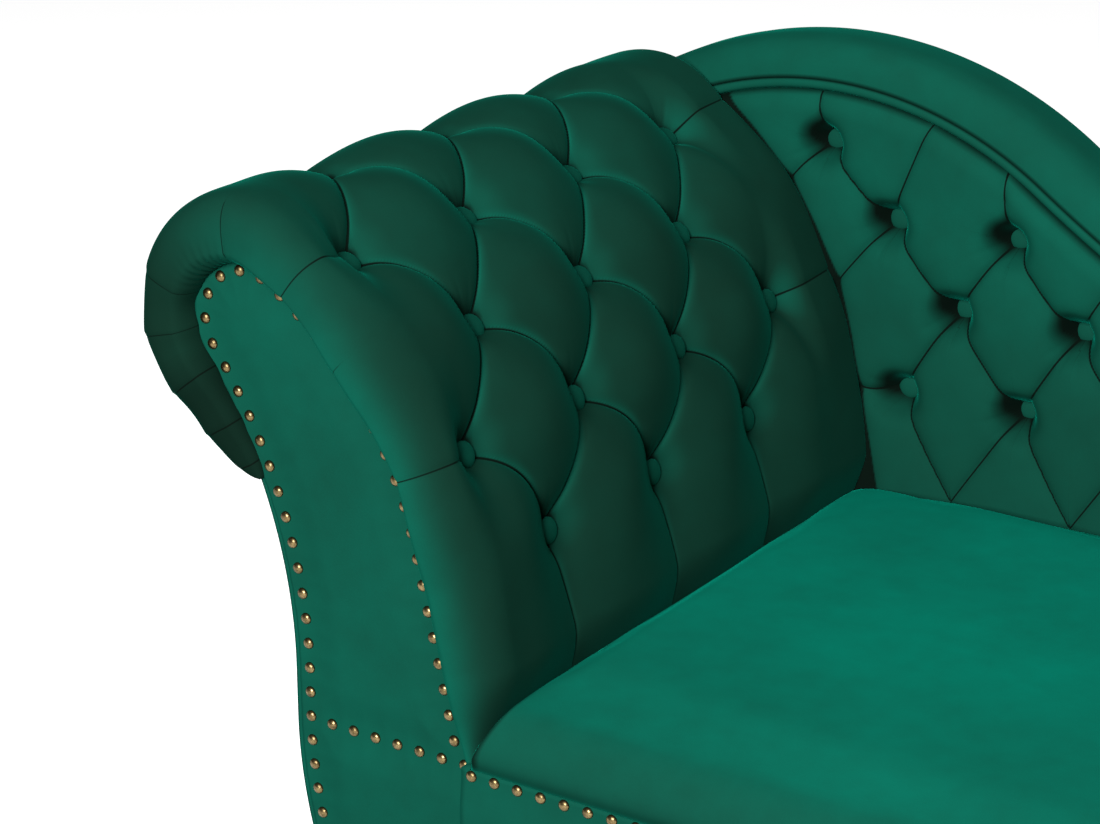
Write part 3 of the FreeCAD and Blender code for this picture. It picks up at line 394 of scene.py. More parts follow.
def wrinkles(u, v, buttons, lean, count=11, reach=0.030):
    """Small creases that run out from the buttons, mostly to one side."""
    total = np.zeros_like(u)
    for index, (a, b) in enumerate(buttons):
        away = np.hypot(u - a, v - b)
        turn = np.arctan2(u - a, v - b)
        ring = np.exp(-((away - 0.55 * reach) / (0.45 * reach)) ** 2)
        side = np.clip(np.cos(turn - lean - 0.5 * math.sin(2.3 * index)), 0, 1) ** 2
        total += ring * side * np.clip(np.sin(count * turn + 1.7 * index), 0, 1) ** 2
    return total


def ripple(u, v, period):
    """Soft unevenness of hand-laid padding, from -1 to 1."""
    a, b = 2 * math.pi * u / period, 2 * math.pi * v / period
    return (np.sin(a + 1.3 * np.sin(0.7 * b)) + np.sin(1.31 * b + 1.1 * np.sin(0.83 * a + 0.4))) / 2


def points_of(x, y, z):
    """Points from their coordinates, each of them a number or an array."""
    return np.stack(np.broadcast_arrays(x, y, z), -1)


def grid_faces(rows, columns):
    """Corners of the faces between the points of a grid."""
    index = np.arange(rows * columns).reshape(rows, columns)
    corners = (index[:-1, :-1], index[1:, :-1], index[1:, 1:], index[:-1, 1:])
    return np.stack([c.ravel() for c in corners], 1)


def grid_rim(rows, columns):
    """Points round the edge of a grid, in order."""
    index = np.arange(rows * columns).reshape(rows, columns)
    return np.concatenate([index[0, :-1], index[:-1, -1], index[-1, :0:-1], index[:0:-1, 0]])


def new_piece(name, points, faces, **attributes):
    """A smooth-shaded mesh object from local points, with its faces turned outwards."""
    mesh = bpy.data.meshes.new(name)
    mesh.from_pydata((np.asarray(points) + np.array(CORNER)).tolist(), [], [list(f) for f in faces])
    for key, values in attributes.items():
        set_attribute(mesh, key, values)
    work = bmesh.new()
    work.from_mesh(mesh)
    bmesh.ops.remove_doubles(work, verts=work.verts, dist=2e-5)
    bmesh.ops.dissolve_degenerate(work, dist=1e-5, edges=work.edges)
    bmesh.ops.recalc_face_normals(work, faces=work.faces)
    work.to_mesh(mesh)
    work.free()
    mesh.shade_smooth()
    piece = bpy.data.objects.new(name, mesh)
    bpy.context.scene.collection.objects.link(piece)
    return piece


def closed_shell(name, face, back, **attributes):
    """A closed pad: a dense visible grid, and a plain back ruled between its two long edges."""
    rows, columns = face.shape[:2]
    points = np.concatenate([face.reshape(-1, 3), back.reshape(-1, 3)])
    faces = grid_faces(rows, columns).tolist()
    front = np.arange(rows) * columns
    rear = front + columns - 1
    under = rows * columns + 2 * np.arange(rows)
    for k in range(rows - 1):
        faces.append([front[k], under[k], under[k + 1], front[k + 1]])
        faces.append([rear[k], rear[k + 1], under[k + 1] + 1, under[k] + 1])
        faces.append([under[k], under[k] + 1, under[k + 1] + 1, under[k + 1]])
    for k in (0, rows - 1):
        faces.append([*range(front[k], rear[k] + 1), under[k] + 1, under[k]])
    for key, values in attributes.items():
        attributes[key] = np.concatenate([values.ravel(), values[:, [0, -1]].ravel()])
    return new_piece(name, points, faces, **attributes)


def set_attribute(mesh, name, values):
    layer = mesh.attributes.get(name) or mesh.attributes.new(name, "FLOAT", "POINT")
    layer.data.foreach_set("value", np.asarray(values, np.float32).ravel())


def cover_piece(piece, *nodes, nap=0.32, fill=None):
    """Cover a piece in velvet, with painted light and shade: a share from 0, the shaded copy of the velvet
    colour, to 1, the lit copy.
    """
    count = len(piece.data.vertices)
    for key, value in (("nap", nap), ("fold", 0.0), ("crease", NO_CREASE)):
        if key not in piece.data.attributes:
            set_attribute(piece.data, key, np.full(count, value))
    finish_piece(piece, velvet_look(), "velvet", *nodes)


def finish_piece(piece, look, slot, *nodes):
    """Give a piece its finish and its body, and hide the pieces of the frame that it stands for."""
    piece.data.materials.clear()
    piece.data.materials.append(look)
    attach(piece, "root")
    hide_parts(*nodes)


def islands(node):
    """Middle and extent of each separate solid in a node of the frame."""
    work = bmesh.new()
    work.from_mesh(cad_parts[node].data)
    bmesh.ops.remove_doubles(work, verts=work.verts, dist=1e-6)
    left = set(work.verts)
    found = []
    while left:
        reached = [left.pop()]
        for vert in reached:
            beside = {edge.other_vert(vert) for edge in vert.link_edges} & left
            left -= beside
            reached.extend(beside)
        places = np.array([vert.co for vert in reached])
        low, high = places.min(0), places.max(0)
        found.append(((low + high) / 2, high - low))
    work.free()
    return sorted(found, key=lambda solid: tuple(np.round(solid[0], 4)))


class Value:
    """A number in a material that differs over the surface; sums on it add Math nodes."""

    def __init__(self, look, socket):
        self.look = look
        self.socket = socket

    def combine(self, operation, first, second):
        node = self.look.node("ShaderNodeMath", {"operation": operation}, {0: first, 1: second})
        return Value(self.look, node.outputs[0])

    def __add__(self, other):
        return self.combine("ADD", self, other)

    def __radd__(self, other):
        return self.combine("ADD", other, self)

    def __sub__(self, other):
        return self.combine("SUBTRACT", self, other)

    def __rsub__(self, other):
        return self.combine("SUBTRACT", other, self)

    def __mul__(self, other):
        return self.combine("MULTIPLY", self, other)

    def __rmul__(self, other):
        return self.combine("MULTIPLY", other, self)


class Look:
    """A material with one Principled shader, built from named nodes."""

    def __init__(self, name, **constants):
        self.material = bpy.data.materials.new(name)
        self.material.use_nodes = True
        self.tree = self.material.node_tree
        self.tree.nodes.clear()
        self.shader = self.node("ShaderNodeBsdfPrincipled", {}, constants)
        output = self.tree.nodes.new("ShaderNodeOutputMaterial")
        self.tree.links.new(self.shader.outputs["BSDF"], output.inputs["Surface"])

    def node(self, kind, settings, sockets):
        """Add a node: its settings first, then values or links for its sockets."""
        node = self.tree.nodes.new(kind)
        for key, setting in settings.items():
            setattr(node, key, setting)
        for key, value in sockets.items():
            self.feed(node.inputs[key], value)
        return node

    def feed(self, socket, value):
        if isinstance(value, Value):
            self.tree.links.new(value.socket, socket)
        elif isinstance(value, bpy.types.NodeSocket):
            self.tree.links.new(value, socket)
        else:
            socket.default_value = value

    def coordinates(self):
        return self.node("ShaderNodeTexCoord", {}, {}).outputs["Object"]

    def noise(self, scale, detail=3.0, roughness=0.5, vector=None):
        vector = vector or self.coordinates()
        node = self.node("ShaderNodeTexNoise", {}, {
            "Vector": vector, "Scale": scale, "Detail": detail, "Roughness": roughness})
        return Value(self, node.outputs[0])

    def attribute(self, name):
        node = self.node("ShaderNodeAttribute", {"attribute_name": name}, {})
        return Value(self, node.outputs["Fac"])

    def mix(self, factor, first, second):
        """A colour between two colours."""
        node = self.node("ShaderNodeMix", {"data_type": "RGBA"}, {0: factor, 6: first, 7: second})
        return node.outputs[2]

    def clamp(self, value, low, high):
        node = self.node("ShaderNodeMapRange", {}, {0: value, 1: low, 2: high, 3: 0.0, 4: 1.0})
        return Value(self, node.outputs[0])

    def surface(self, tint, roughness):
        self.feed(self.shader.inputs["Base Color"], tint)
        self.feed(self.shader.inputs["Roughness"], roughness)

    def bump(self, height, strength, distance):
        node = self.node("ShaderNodeBump", {}, {
            "Height": height, "Strength": strength, "Distance": distance})
        self.tree.links.new(node.outputs["Normal"], self.shader.inputs["Normal"])


def rgba(value):
    return (*value, 1.0)


def velvet(colours):
    """Short emerald pile: soft, with a sheen where the light runs along it, painted shade in the folds,
    and painted light and shade mixed from a lit and a shaded copy of its colour.
    """
    look = Look("emerald_velvet", **{
        "Sheen Weight": 0.14, "Sheen Roughness": 0.30, "Sheen Tint": rgba(colours.velvet_sheen),
        "IOR": 1.0})
    # Painted shade from the mesh: folds, button pits, tucked edges and the sides of the piping.
    fold = look.attribute("fold")
    brushed = look.noise(7.0, 4.0, 0.55)
    patch = look.noise(38.0, 3.0, 0.5)
    pile = look.noise(1400.0, 2.0, 0.6)
    brushing = 0.5 * brushed + 0.25 * patch + 0.25 * pile - 0.5
    # Painted light and shade from the mesh, varied at random by the brushing noise, picks between the
    # shaded and the lit copy of the colour.
    nap = look.clamp(look.attribute("nap") * (1.0 + 1.1 * brushing) + 0.10 * brushing, 0.0, 1.0)
    painted_light_colour = look.mix(nap, rgba(colours.velvet_painted_shade), rgba(colours.velvet))
    # Painted shade: a dark hairline along each fold; with the painted shade of the mesh it takes the
    # colour towards the dark fold colour.
    crease = look.attribute("crease")
    line = 1.0 - look.clamp(crease * crease, 0.15, 1.3)
    deep = look.clamp(fold + 0.75 * line, 0.3, 1.0)
    base = look.mix(deep, painted_light_colour, rgba(colours.velvet_painted_fold_shade))
    look.surface(base, 0.95 - 0.18 * nap)
    look.bump(0.7 * pile + 0.3 * look.noise(500.0, 2.0, 0.5), 0.25, 0.0004)
    return look.material


def antique_brass(colours):
    """Brass nails with a dark patina worn off their crowns."""
    look = Look("antique_brass", **{"Metallic": 1.0})
    worn = look.clamp(0.6 * look.noise(160.0, 4.0, 0.6) + 0.4 * look.noise(900.0, 2.0, 0.5), 0.35, 0.65)
    look.surface(look.mix(worn, rgba(colours.brass_dark), rgba(colours.brass)), 0.42 - 0.18 * worn)
    look.bump(worn, 0.15, 0.0002)
    return look.material


def stained_wood(name, tint, dark, grain_scale):
    """Timber with grain along X, from raw softwood to dark stained legs."""
    look = Look(name, **{"Specular IOR Level": 0.4})
    stretched = look.node("ShaderNodeMapping", {}, {
        "Vector": look.coordinates(), "Scale": grain_scale}).outputs[0]
    grain = look.noise(1.0, 6.0, 0.6, stretched)
    fleck = look.noise(420.0, 2.0, 0.5)
    ring = look.clamp(0.8 * grain + 0.2 * fleck, 0.3, 0.7)
    deep = tuple(dark * c for c in tint)
    look.surface(look.mix(ring, rgba(deep), rgba(tint)), 0.55 - 0.2 * ring)
    look.bump(ring, 0.2, 0.0004)
    return look.material


def plain_stuff(name, light, dark, scale, roughness, metallic=0.0):
    """Felt, foam, cloth, plastic or steel: two close tones in a fine noise."""
    look = Look(name, **{"Metallic": metallic})
    grain = look.clamp(0.5 * look.noise(scale, 3.0, 0.6) + 0.5 * look.noise(0.1 * scale), 0.35, 0.65)
    look.surface(look.mix(grain, rgba(dark), rgba(light)), roughness + 0.1 * grain)
    look.bump(grain, 0.3, 0.0004)
    return look.material


def scene_groups():
    scene = bpy.context.scene
    return scene.chaise_sizes, scene.chaise_colours


def known_look(name, make):
    return bpy.data.materials.get(name) or make()


def velvet_look():
    return known_look("emerald_velvet", lambda: velvet(scene_groups()[1]))


def brass_look():
    return known_look("antique_brass", lambda: antique_brass(scene_groups()[1]))


def arm_buttons(size):
    """Buttons of the arm as (distance along the arm, distance behind the facing)."""
    return {(row, column): (size.arm_row_first + size.arm_row_step * row,
                            size.arm_column_first + size.arm_column_step * column)
            for row in range(ROWS_OF_ARM) for column in range(COLUMNS_OF_ARM) if (row + column) % 2}


def pulled_in(s):
    """Share of the arm's fullness that is left near the seat."""
    return 0.3 + 0.7 * ease(s / 0.075)


def arm_foot(size, s):
    """Padding of the arm on its way up from the seat, where it is pulled in tight."""
    filled = size.arm_pad_foot + (size.arm_pad - size.arm_pad_foot) * ease(s / size.arm_row_first)
    return filled * pulled_in(s)


def arm_folds(size, buttons, front, rear, low, high):
    """Diagonal folds from button to button, and straight folds from the outer ones to the edges."""
    folds = []
    for (row, column), place in buttons.items():
        for side in (-1, 1):
            if (row + 1, column + side) in buttons:
                folds.append((place, buttons[row + 1, column + side], 0.95, 0.95, 1.0))
        if row == 0:
            folds.append((place, (low, place[1]), 0.85, 0.1, 0.9))
        if row == ROWS_OF_ARM - 1:
            folds.append((place, (high, place[1]), 0.9, 0.5, 0.8))
        if column == 0:
            folds.append((place, (place[0] + 0.002, front), 0.8, 0.35, 0.35))
        if column == COLUMNS_OF_ARM - 1:
            folds.append((place, (place[0] + 0.004, rear), 0.9, 0.7, 0.7))
    return folds


class CHAISE_OT_arm_pad(bpy.types.Operator):
    """Deep-buttoned padding of the arm, from the seat over the roll and into its tuck"""
    bl_idname = "chaise.arm_pad"
    bl_label = "Arm padding"

    def execute(self, context):
        size, _ = scene_groups()
        scroll = Scroll(size)
        low, high = size.arm_seam, scroll.stops[-1]
        flat = size.arm_column_first - NOSE_STEPS * size.arm_column_step / MESH_STEPS
        front = flat - size.nose_run
        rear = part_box("arm_tufted_pad")[1].y - CORNER.y
        step = size.arm_row_step / MESH_STEPS
        first = math.ceil((low - size.arm_row_first) / step)
        last = math.floor((high - size.arm_row_first) / step)
        along = size.arm_row_first + step * np.arange(first, last + 1)
        along[0], along[-1] = low, high
        step = size.arm_column_step / MESH_STEPS
        last = math.floor((rear - size.arm_column_first) / step)
        first = -NOSE_STEPS - math.floor(size.nose_run / step)
        across = size.arm_column_first + step * np.arange(first, last + 1)
        across[0], across[-1] = front, rear
        s, q = np.meshgrid(along, across, indexing="ij")

        buttons = arm_buttons(size)
        folds = arm_folds(size, buttons, front, rear, low, high)
        folds += self.cheek_pleats(scroll, front)
        # shade, the offset and hollow set the painted shade of the button pits.
        tufts = Tufts(list(buttons.values()), folds, slit=0.0022, slit_width=0.0026, well=0.0095,
                      well_width=0.0175, shade=0.7, painted_shade_offset=(0.004, -0.006), hollow=0.0085)
        depth, fold, crease = tufts.depth(s, q)
        depth += size.pillow_depth * self.pillows(size, s, q)
        depth += ARM_CREASE * wrinkles(s, q, buttons.values(), lean=math.pi * 0.7)
        slope = np.gradient(depth, axis=1) / np.gradient(q, axis=1)
        depth += UNEVEN * ripple(s, q, period=0.11) + self.flats(scroll, s, q)

        one, other = self.waves(size, s, q)
        row = (s - size.arm_row_first) / size.arm_row_step
        column = (q - size.arm_column_first) / size.arm_column_step
        inside = ease((np.minimum(row, ROWS_OF_ARM - 1 - row) + 1) / 1.3)
        inside = inside * ease((np.minimum(column, COLUMNS_OF_ARM - 1 - column) + 0.4) / 0.6)
        bow = size.fold_bow * inside * np.sqrt(one ** 2 + other ** 2 - (one * other) ** 2)
        x, z, turn = scroll.place(s + bow)

        _, bend_end, roll_end, _ = scroll.stops
        crown = arm_foot(size, s) + (size.arm_pad_roll - size.arm_pad) * ramp(s, 0.36, 0.1)
        end = np.clip((s - roll_end) / (high - roll_end), 0, 1)
        crown = crown * np.sqrt(1 - 0.995 * end ** 2)
        depth = depth * np.clip(crown / size.arm_pad, 0, 1)
        back_edge = near(rear - q, size.arm_rear_round)
        crown = crown - size.arm_rear_round * rounded(back_edge)
        # Painted shade along the rear edge against the back and on the underside of the roll.
        under = ramp(s, bend_end + 0.16, 0.08)
        fold = np.maximum(fold, 0.6 * np.maximum(back_edge, under))

        bulge = self.bulge(size, s, bend_end, end)
        full = 1 - 0.35 * ramp(s, 0.34, 0.08)
        y, lift, ahead, out = self.nose(flat, size.nose_run, q + bow, crown, bulge, full)
        depth = depth + self.gathers(s, (flat - q) / size.nose_run, bend_end)
        y = y + depth * np.abs(ahead)
        lift = lift - depth * out
        face = points_of(x + lift * np.cos(turn), y, z + lift * np.sin(turn))
        x, z, turn = scroll.place(along)
        lining = points_of(x + CLEAR * np.cos(turn), 0.0, z + CLEAR * np.sin(turn))
        back = np.stack([lining + (0, 0.004, 0), lining + (0, rear - 0.001, 0)], 1)
        piece = closed_shell("arm_padding", face, back, fold=fold, crease=crease,
                             nap=self.nap(scroll, s, q, slope))
        cover_piece(piece, "arm_tufted_pad", fill=0.9)
        return {"FINISHED"}

    def bulge(self, size, s, bend_end, end):
        """How far the front stands out: pulled in at the seat, fullest below the crest."""
        crest_bulge = 0.006
        crest = ramp(s, 0.28, 0.08) * (1 - ramp(s, bend_end, 0.05))
        bulge = size.nose_bulge * (0.75 + 0.5 * ramp(s, 0.13, 0.08) - 0.15 * ramp(s, 0.30, 0.1))
        bulge = bulge + crest_bulge * crest
        return bulge * (1 - 0.8 * end) * pulled_in(s)

    def gathers(self, s, ahead, bend_end):
        """Fine gathers on the front edge, where it turns over the crest of the roll."""
        height, pitch, past_bend, reach = 0.0016, 0.0095, 0.075, 0.035
        gathered = ramp(ahead, 0.5, 0.5)
        gathered = gathered * np.exp(-((s - bend_end - past_bend) / reach) ** 2)
        return height * gathered * np.sin(2 * math.pi * s / pitch)

    def waves(self, size, s, q):
        """Two waves over the tufting, each 0 on the folds of one diagonal and 1 half way between."""
        r = settle((s - size.arm_row_first) / size.arm_row_step, ROWS_OF_ARM - 1)
        c = settle((q - size.arm_column_first) / size.arm_column_step, COLUMNS_OF_ARM - 1)
        return np.abs(np.cos(math.pi * (r + c) / 2)), np.abs(np.cos(math.pi * (r - c) / 2))

    def pillows(self, size, s, q):
        """Depth share of the pillows between the folds: 0 on their crowns and 1 at the buttons."""
        one, other = self.waves(size, s, q)
        below = (size.arm_row_first - s) / size.arm_row_step
        above = -below - ROWS_OF_ARM + 1
        before = (size.arm_column_first - q) / size.arm_column_step
        behind = -before - COLUMNS_OF_ARM + 1
        power = 0.5 - 0.15 * ease(np.maximum(below, above) / 0.4)
        share = 1 - 0.62 * (one * other) ** power - 0.19 * (one ** 2 + other ** 2)
        share = share * (1 - 0.85 * ease(before / 0.5)) * (1 - 0.8 * ease(behind / 0.5))
        return share * (1 - 0.5 * ease(below / 1.2)) * (1 - 0.5 * ease((above + 0.8) / 0.9))

    def nap(self, scroll, s, q, slope):
        """Painted light and shade over the arm: lighter where it looks to the front, darker on the cheek.
        """
        beyond = s - scroll.stops[1]
        front = 1 - ramp(q, -0.040, 0.055)
        over = 0.3 * ramp(beyond, -0.10, 0.10) + 0.7 * ramp(beyond, 0.01, 0.09)
        cheek = ramp(beyond, 0.06, 0.10)
        roll = ramp(beyond, -0.14, 0.10)
        bright = 0.44 * front ** 2.2 * (1 - over) * (1 - 0.35 * roll)
        toned = 0.055 + 0.06 * roll + bright - 0.11 * cheek
        # Painted light on the walls of the folds: much lighter where they face the front, a little lighter
        # where they face the back.
        turned = 0.3 * np.clip(-slope - 0.5, 0, 1) + 0.09 * np.clip(slope, 0, 0.6)
        return np.clip(toned + turned * (1 - front), 0.0, 0.5)

    def pleat_lines(self, scroll):
        """Places along the arm of the pleats that gather the cover round the front of the roll."""
        start, end = scroll.stops[1], scroll.stops[3]
        return [start + (end - start) * part for part in (0.43, 0.57, 0.715, 0.85, 0.955)]

    def cheek_pleats(self, scroll, front):
        """The pleats as sharp lines that fade out behind the front edge."""
        pleats = [((place, front), (place + 0.008, 0.065), 0.4, 0.15, 0.05)
                  for place in self.pleat_lines(scroll)]
        crest = scroll.stops[1] + 0.045
        tuck = scroll.stops[0] + 0.159
        pleats.append(((tuck, front), (tuck + 0.006, front + 0.040), 0.7, 0.1, 0.05))
        return pleats + [((crest, front), (crest + 0.004, -0.002), 0.7, 0.2, 0.05)]

    def flats(self, scroll, s, q):
        """The cover lies flat from one pleat of the cheek to the next."""
        lines = [*self.pleat_lines(scroll), scroll.stops[3]]
        total = np.zeros_like(s)
        for first, last in zip(lines, lines[1:]):
            part = np.clip((s - first) / (last - first), 0, 1)
            total += 4 * part * (1 - part) * (last - first) ** 2 / (8 * (scroll.size.lobe_radius + 0.05))
        return total * (1 - ramp(q, 0.02, 0.06))

    def nose(self, flat, run, q, crown, bulge, full):
        """Place across the arm, height over the board and outward direction, front edge included."""
        part = np.clip((flat - q) / run, 0, 1)
        over = np.clip(part / NOSE_UPPER, 0, 1) * math.pi / 2
        under = np.clip((part - NOSE_UPPER) / (1 - NOSE_UPPER), 0, 1) * math.pi / 2
        middle = 0.18 * crown
        lap = np.minimum(0.003, 0.1 * crown)
        reach = flat + bulge
        y_over = flat - reach * np.sin(over) ** full
        lift_over = middle + (crown - middle) * np.cos(over) ** full
        y_under = -bulge * np.cos(under)
        lift_under = middle - (middle + lap) * np.sin(under)
        upper = part < NOSE_UPPER
        y = np.where(part <= 0, q, np.where(upper, y_over, y_under))
        lift = np.where(part <= 0, crown, np.where(upper, lift_over, lift_under))
        ahead = np.where(upper, -np.sin(over) / reach, -np.cos(under) / bulge)
        out = np.where(upper, np.cos(over) / (crown - middle), -np.sin(under) / (middle + lap))
        scale = np.hypot(ahead, out)
        return y, lift, ahead / scale, out / scale


class CHAISE_OT_back_pad(bpy.types.Operator):
    """Deep-buttoned padding of the back, from the arm down the sweep to its rounded end"""
    bl_idname = "chaise.back_pad"
    bl_label = "Back padding"

    def execute(self, context):
        size, _ = scene_groups()
        scroll = Scroll(size)
        crown = CrownLine(size, scroll)
        box_low, box_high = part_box("back_tufted_pad")
        behind_arm = 0.03
        left, right = box_low.x - CORNER.x - behind_arm, box_high.x - CORNER.x
        low = box_low.z - CORNER.z
        offset = -size.border_lip - 2 * size.welt_radius - CLEAR
        across = np.arange(left, right, size.back_column_step / BACK_STEPS)
        across = np.append(across, right)
        tops = crown.height(offset, across)
        rows = np.arange(0, (tops.max() - low) / BACK_ROW)
        x, z = np.meshgrid(across, low + BACK_ROW * rows, indexing="xy")
        seam = self.seam(scroll, across, low)
        z = np.clip(z, seam, np.maximum(tops, seam + 1e-4))
        buttons = self.buttons(size)
        folds = self.folds(size, buttons, crown, offset, low)
        # shade, the offset and hollow set the painted shade of the button pits.
        tufts = Tufts(list(buttons.values()), folds, slit=0.0016, slit_width=0.0030, well=0.036,
                      well_width=0.0160, shade=1.6, painted_shade_offset=(-0.004, 0.006), hollow=0.0145,
                      swell=0.010, swell_width=0.036)
        depth, fold, crease = tufts.depth(x, z)
        depth += BACK_CREASE * wrinkles(z, x, [(b, a) for a, b in buttons.values()], lean=-2.4)
        depth += UNEVEN * ripple(x, z, period=0.12)
        top_reach, side_reach = 0.020, 0.018
        arm_fall, end_fall, thinnest = 0.004, 0.012, 0.004
        top_edge = near(tops - z, top_reach)
        arm_edge = near(scroll.clearance(x, z), side_reach)
        right_edge = near(right - x, side_reach)
        depth += size.border_setback * rounded(top_edge)
        depth += arm_fall * rounded(arm_edge) + end_fall * rounded(right_edge)
        depth = np.minimum(depth, size.back_pad - thinnest)
        # Painted shade along the seam with the arm and under the border.
        fold = np.maximum(fold, np.maximum(arm_edge ** 10, 0.8 * top_edge ** 4))
        # Painted light, lighter towards the top of the back.
        nap = 0.19 + 0.14 * ramp(z, 0.10, 0.25)
        face = points_of(x, size.seat_depth + depth, z)
        board = size.seat_depth + size.back_pad - 0.0005
        piece = self.shell(face, board, fold, crease, nap)
        cover_piece(piece, "back_tufted_pad", fill=0.85)
        return {"FINISHED"}

    def shell(self, face, board, fold, crease, nap):
        """Close the pad against the back board by a flat copy of its outline."""
        rows, columns = face.shape[:2]
        rim = grid_rim(rows, columns)
        flat = face.reshape(-1, 3)[rim].copy()
        flat[:, 1] = board
        points = np.concatenate([face.reshape(-1, 3), flat])
        start = rows * columns
        count = len(rim)
        faces = grid_faces(rows, columns).tolist()
        for k in range(count):
            following = (k + 1) % count
            faces.append([rim[k], rim[following], start + following, start + k])
        faces.append([start + k for k in range(count)])
        fold = np.concatenate([fold.ravel(), np.zeros(count)])
        crease = np.concatenate([crease.ravel(), np.full(count, NO_CREASE)])
        nap = np.concatenate([nap.ravel(), nap.ravel()[rim]])
        return new_piece("back_padding", points, faces, fold=fold, crease=crease, nap=nap)

    def seam(self, scroll, across, low):
        """Lower edge of the pad: the face of the arm where that is in the way."""
        size = scroll.size
        lean = size.inner_lean
        edge = size.arm_pad - 0.030
        far = size.inner_radius + edge
        part = np.clip((across - scroll.inner.x) / far, -1, 1)
        arc = scroll.inner.y + far * np.sqrt(1 - part ** 2)
        line = (edge - across * math.cos(lean)) / math.sin(lean)
        bent = across < scroll.inner.x + far * math.cos(lean)
        return np.maximum(low, np.where(bent, arc, line))

    def buttons(self, size):
        """Button places that the frame has, by row and column of the tufting."""
        found = {}
        for middle, _ in islands("back_buttons"):
            x, z = middle[0] - CORNER.x, middle[2] - CORNER.z
            fall = size.back_row_first - z
            spread = size.back_row_step ** 2 + 4 * size.back_row_growth * max(fall, 0)
            row = round(2 * fall / (size.back_row_step + math.sqrt(spread)))
            column = x - size.back_column_first - size.back_column_shift * row
            column = round(column / size.back_column_step)
            found[row, column] = (x, z)
        return found

    def folds(self, size, buttons, crown, offset, low):
        """Folds between neighbouring buttons, and from the outer ones to the border, arm and seat."""
        folds = []
        for (row, column), (x, z) in buttons.items():
            for side in (-1, 1):
                below = buttons.get((row + 1, column + side))
                if below:
                    folds.append(((x, z), below, 0.95, 0.95, 1.0))
                elif side < 0 or z < 0.2:
                    fall = size.back_row_step + size.back_row_growth * (2 * row + 1)
                    level = row >= 3 and side < 0 and (row, column - 2) not in buttons
                    end = (x + side * size.back_column_step, z - fall * (not level))
                    folds.append(((x, z), end, 0.9, 0.7, 0.9))
            if (row - 1, column + 1) not in buttons:
                lean = size.back_column_step * (0.65 if (row - 1, column - 1) in buttons else -0.1)
                top = float(crown.height(offset, np.array([x + lean]))[0])
                folds.append(((x, z), (x + lean, top), 0.9, 0.75, 0.8))
        return folds


def sweep(name, path, turns, profile, fold):
    """A closed section carried along an outline: profile gives (place across, distance out) pairs."""
    count = len(profile)
    out = np.stack([np.cos(turns), np.sin(turns)], 1)
    points = np.zeros((len(path), count, 3))
    points[:, :, 0] = path[:, None, 0] + out[:, None, 0] * profile[None, :, 1]
    points[:, :, 1] = profile[None, :, 0]
    points[:, :, 2] = path[:, None, 1] + out[:, None, 1] * profile[None, :, 1]
    ring = np.concatenate([points, points[:, :1]], 1)
    faces = grid_faces(len(path), count + 1).tolist()
    start = np.arange(count)
    last = (len(path) - 1) * (count + 1)
    faces += [list(start), list(last + start)]
    return new_piece(name, ring.reshape(-1, 3), faces, fold=np.tile(np.append(fold, fold[0]), len(path)))


class CHAISE_OT_border(bpy.types.Operator):
    """Plain padded border over the top of the back, and the piping below it"""
    bl_idname = "chaise.border"
    bl_label = "Border and piping"

    def execute(self, context):
        size, _ = scene_groups()
        crown = CrownLine(size, Scroll(size))
        low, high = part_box("back_border")
        front, rear = low.y - CORNER.y, high.y - CORNER.y
        path, turns = crown.path(0.0, low.z - CORNER.z)
        section = self.section(size, front, rear)
        # Painted shade along the lower front edge of the border, above the piping.
        hem = ease(1 - (section[:, 1] + size.border_lip) / 0.006) * (section[:, 0] < front + 0.01)
        piece = sweep("back_border_roll", path, turns, section, 0.9 * hem)
        cover_piece(piece, "back_border", fill=0.8)
        offset = -size.border_lip - size.welt_radius - 0.0003
        path, turns = crown.path(offset, size.seat_rise)
        angles = np.linspace(0, 2 * math.pi, 14, endpoint=False)
        ring = size.welt_radius * np.stack([np.cos(angles), np.sin(angles)], 1) + (front, 0)
        # Painted shade along both sides of the piping, where it meets the border and the pad.
        piece = sweep("back_piping", path, turns, ring, np.abs(np.sin(angles)) ** 3)
        cover_piece(piece, "back_welt", nap=0.3)
        return {"FINISHED"}

    def section(self, size, front, rear):
        """Closed outline of the border: full in front, rounded over the top, thin behind."""
        board = size.seat_depth + size.back_pad
        depth = size.border_lip
        under = -size.border_cap + 0.0004
        nose_run, nose_reach, tail_run, tail_fall = 0.026, 0.029, 0.018, 0.012
        turn = np.linspace(math.pi / 2, 0.35, 12)
        nose = np.stack([front + nose_run - nose_reach * np.sin(turn), -depth * (1 - np.cos(turn))], 1)
        top = [(front + nose_run, 0.0008), (front + nose_run + 0.010, 0.001), (rear - 0.026, 0.001)]
        turn = np.linspace(0, math.pi / 2, 10)
        tail = np.stack([rear - tail_run * (1 - np.sin(turn)), -tail_fall * (1 - np.cos(turn))], 1)
        inside = [(rear, under), (board, under), (board - 0.0005, -depth)]
        return np.concatenate([[(front + 0.003, -depth)], nose, top, tail, inside])


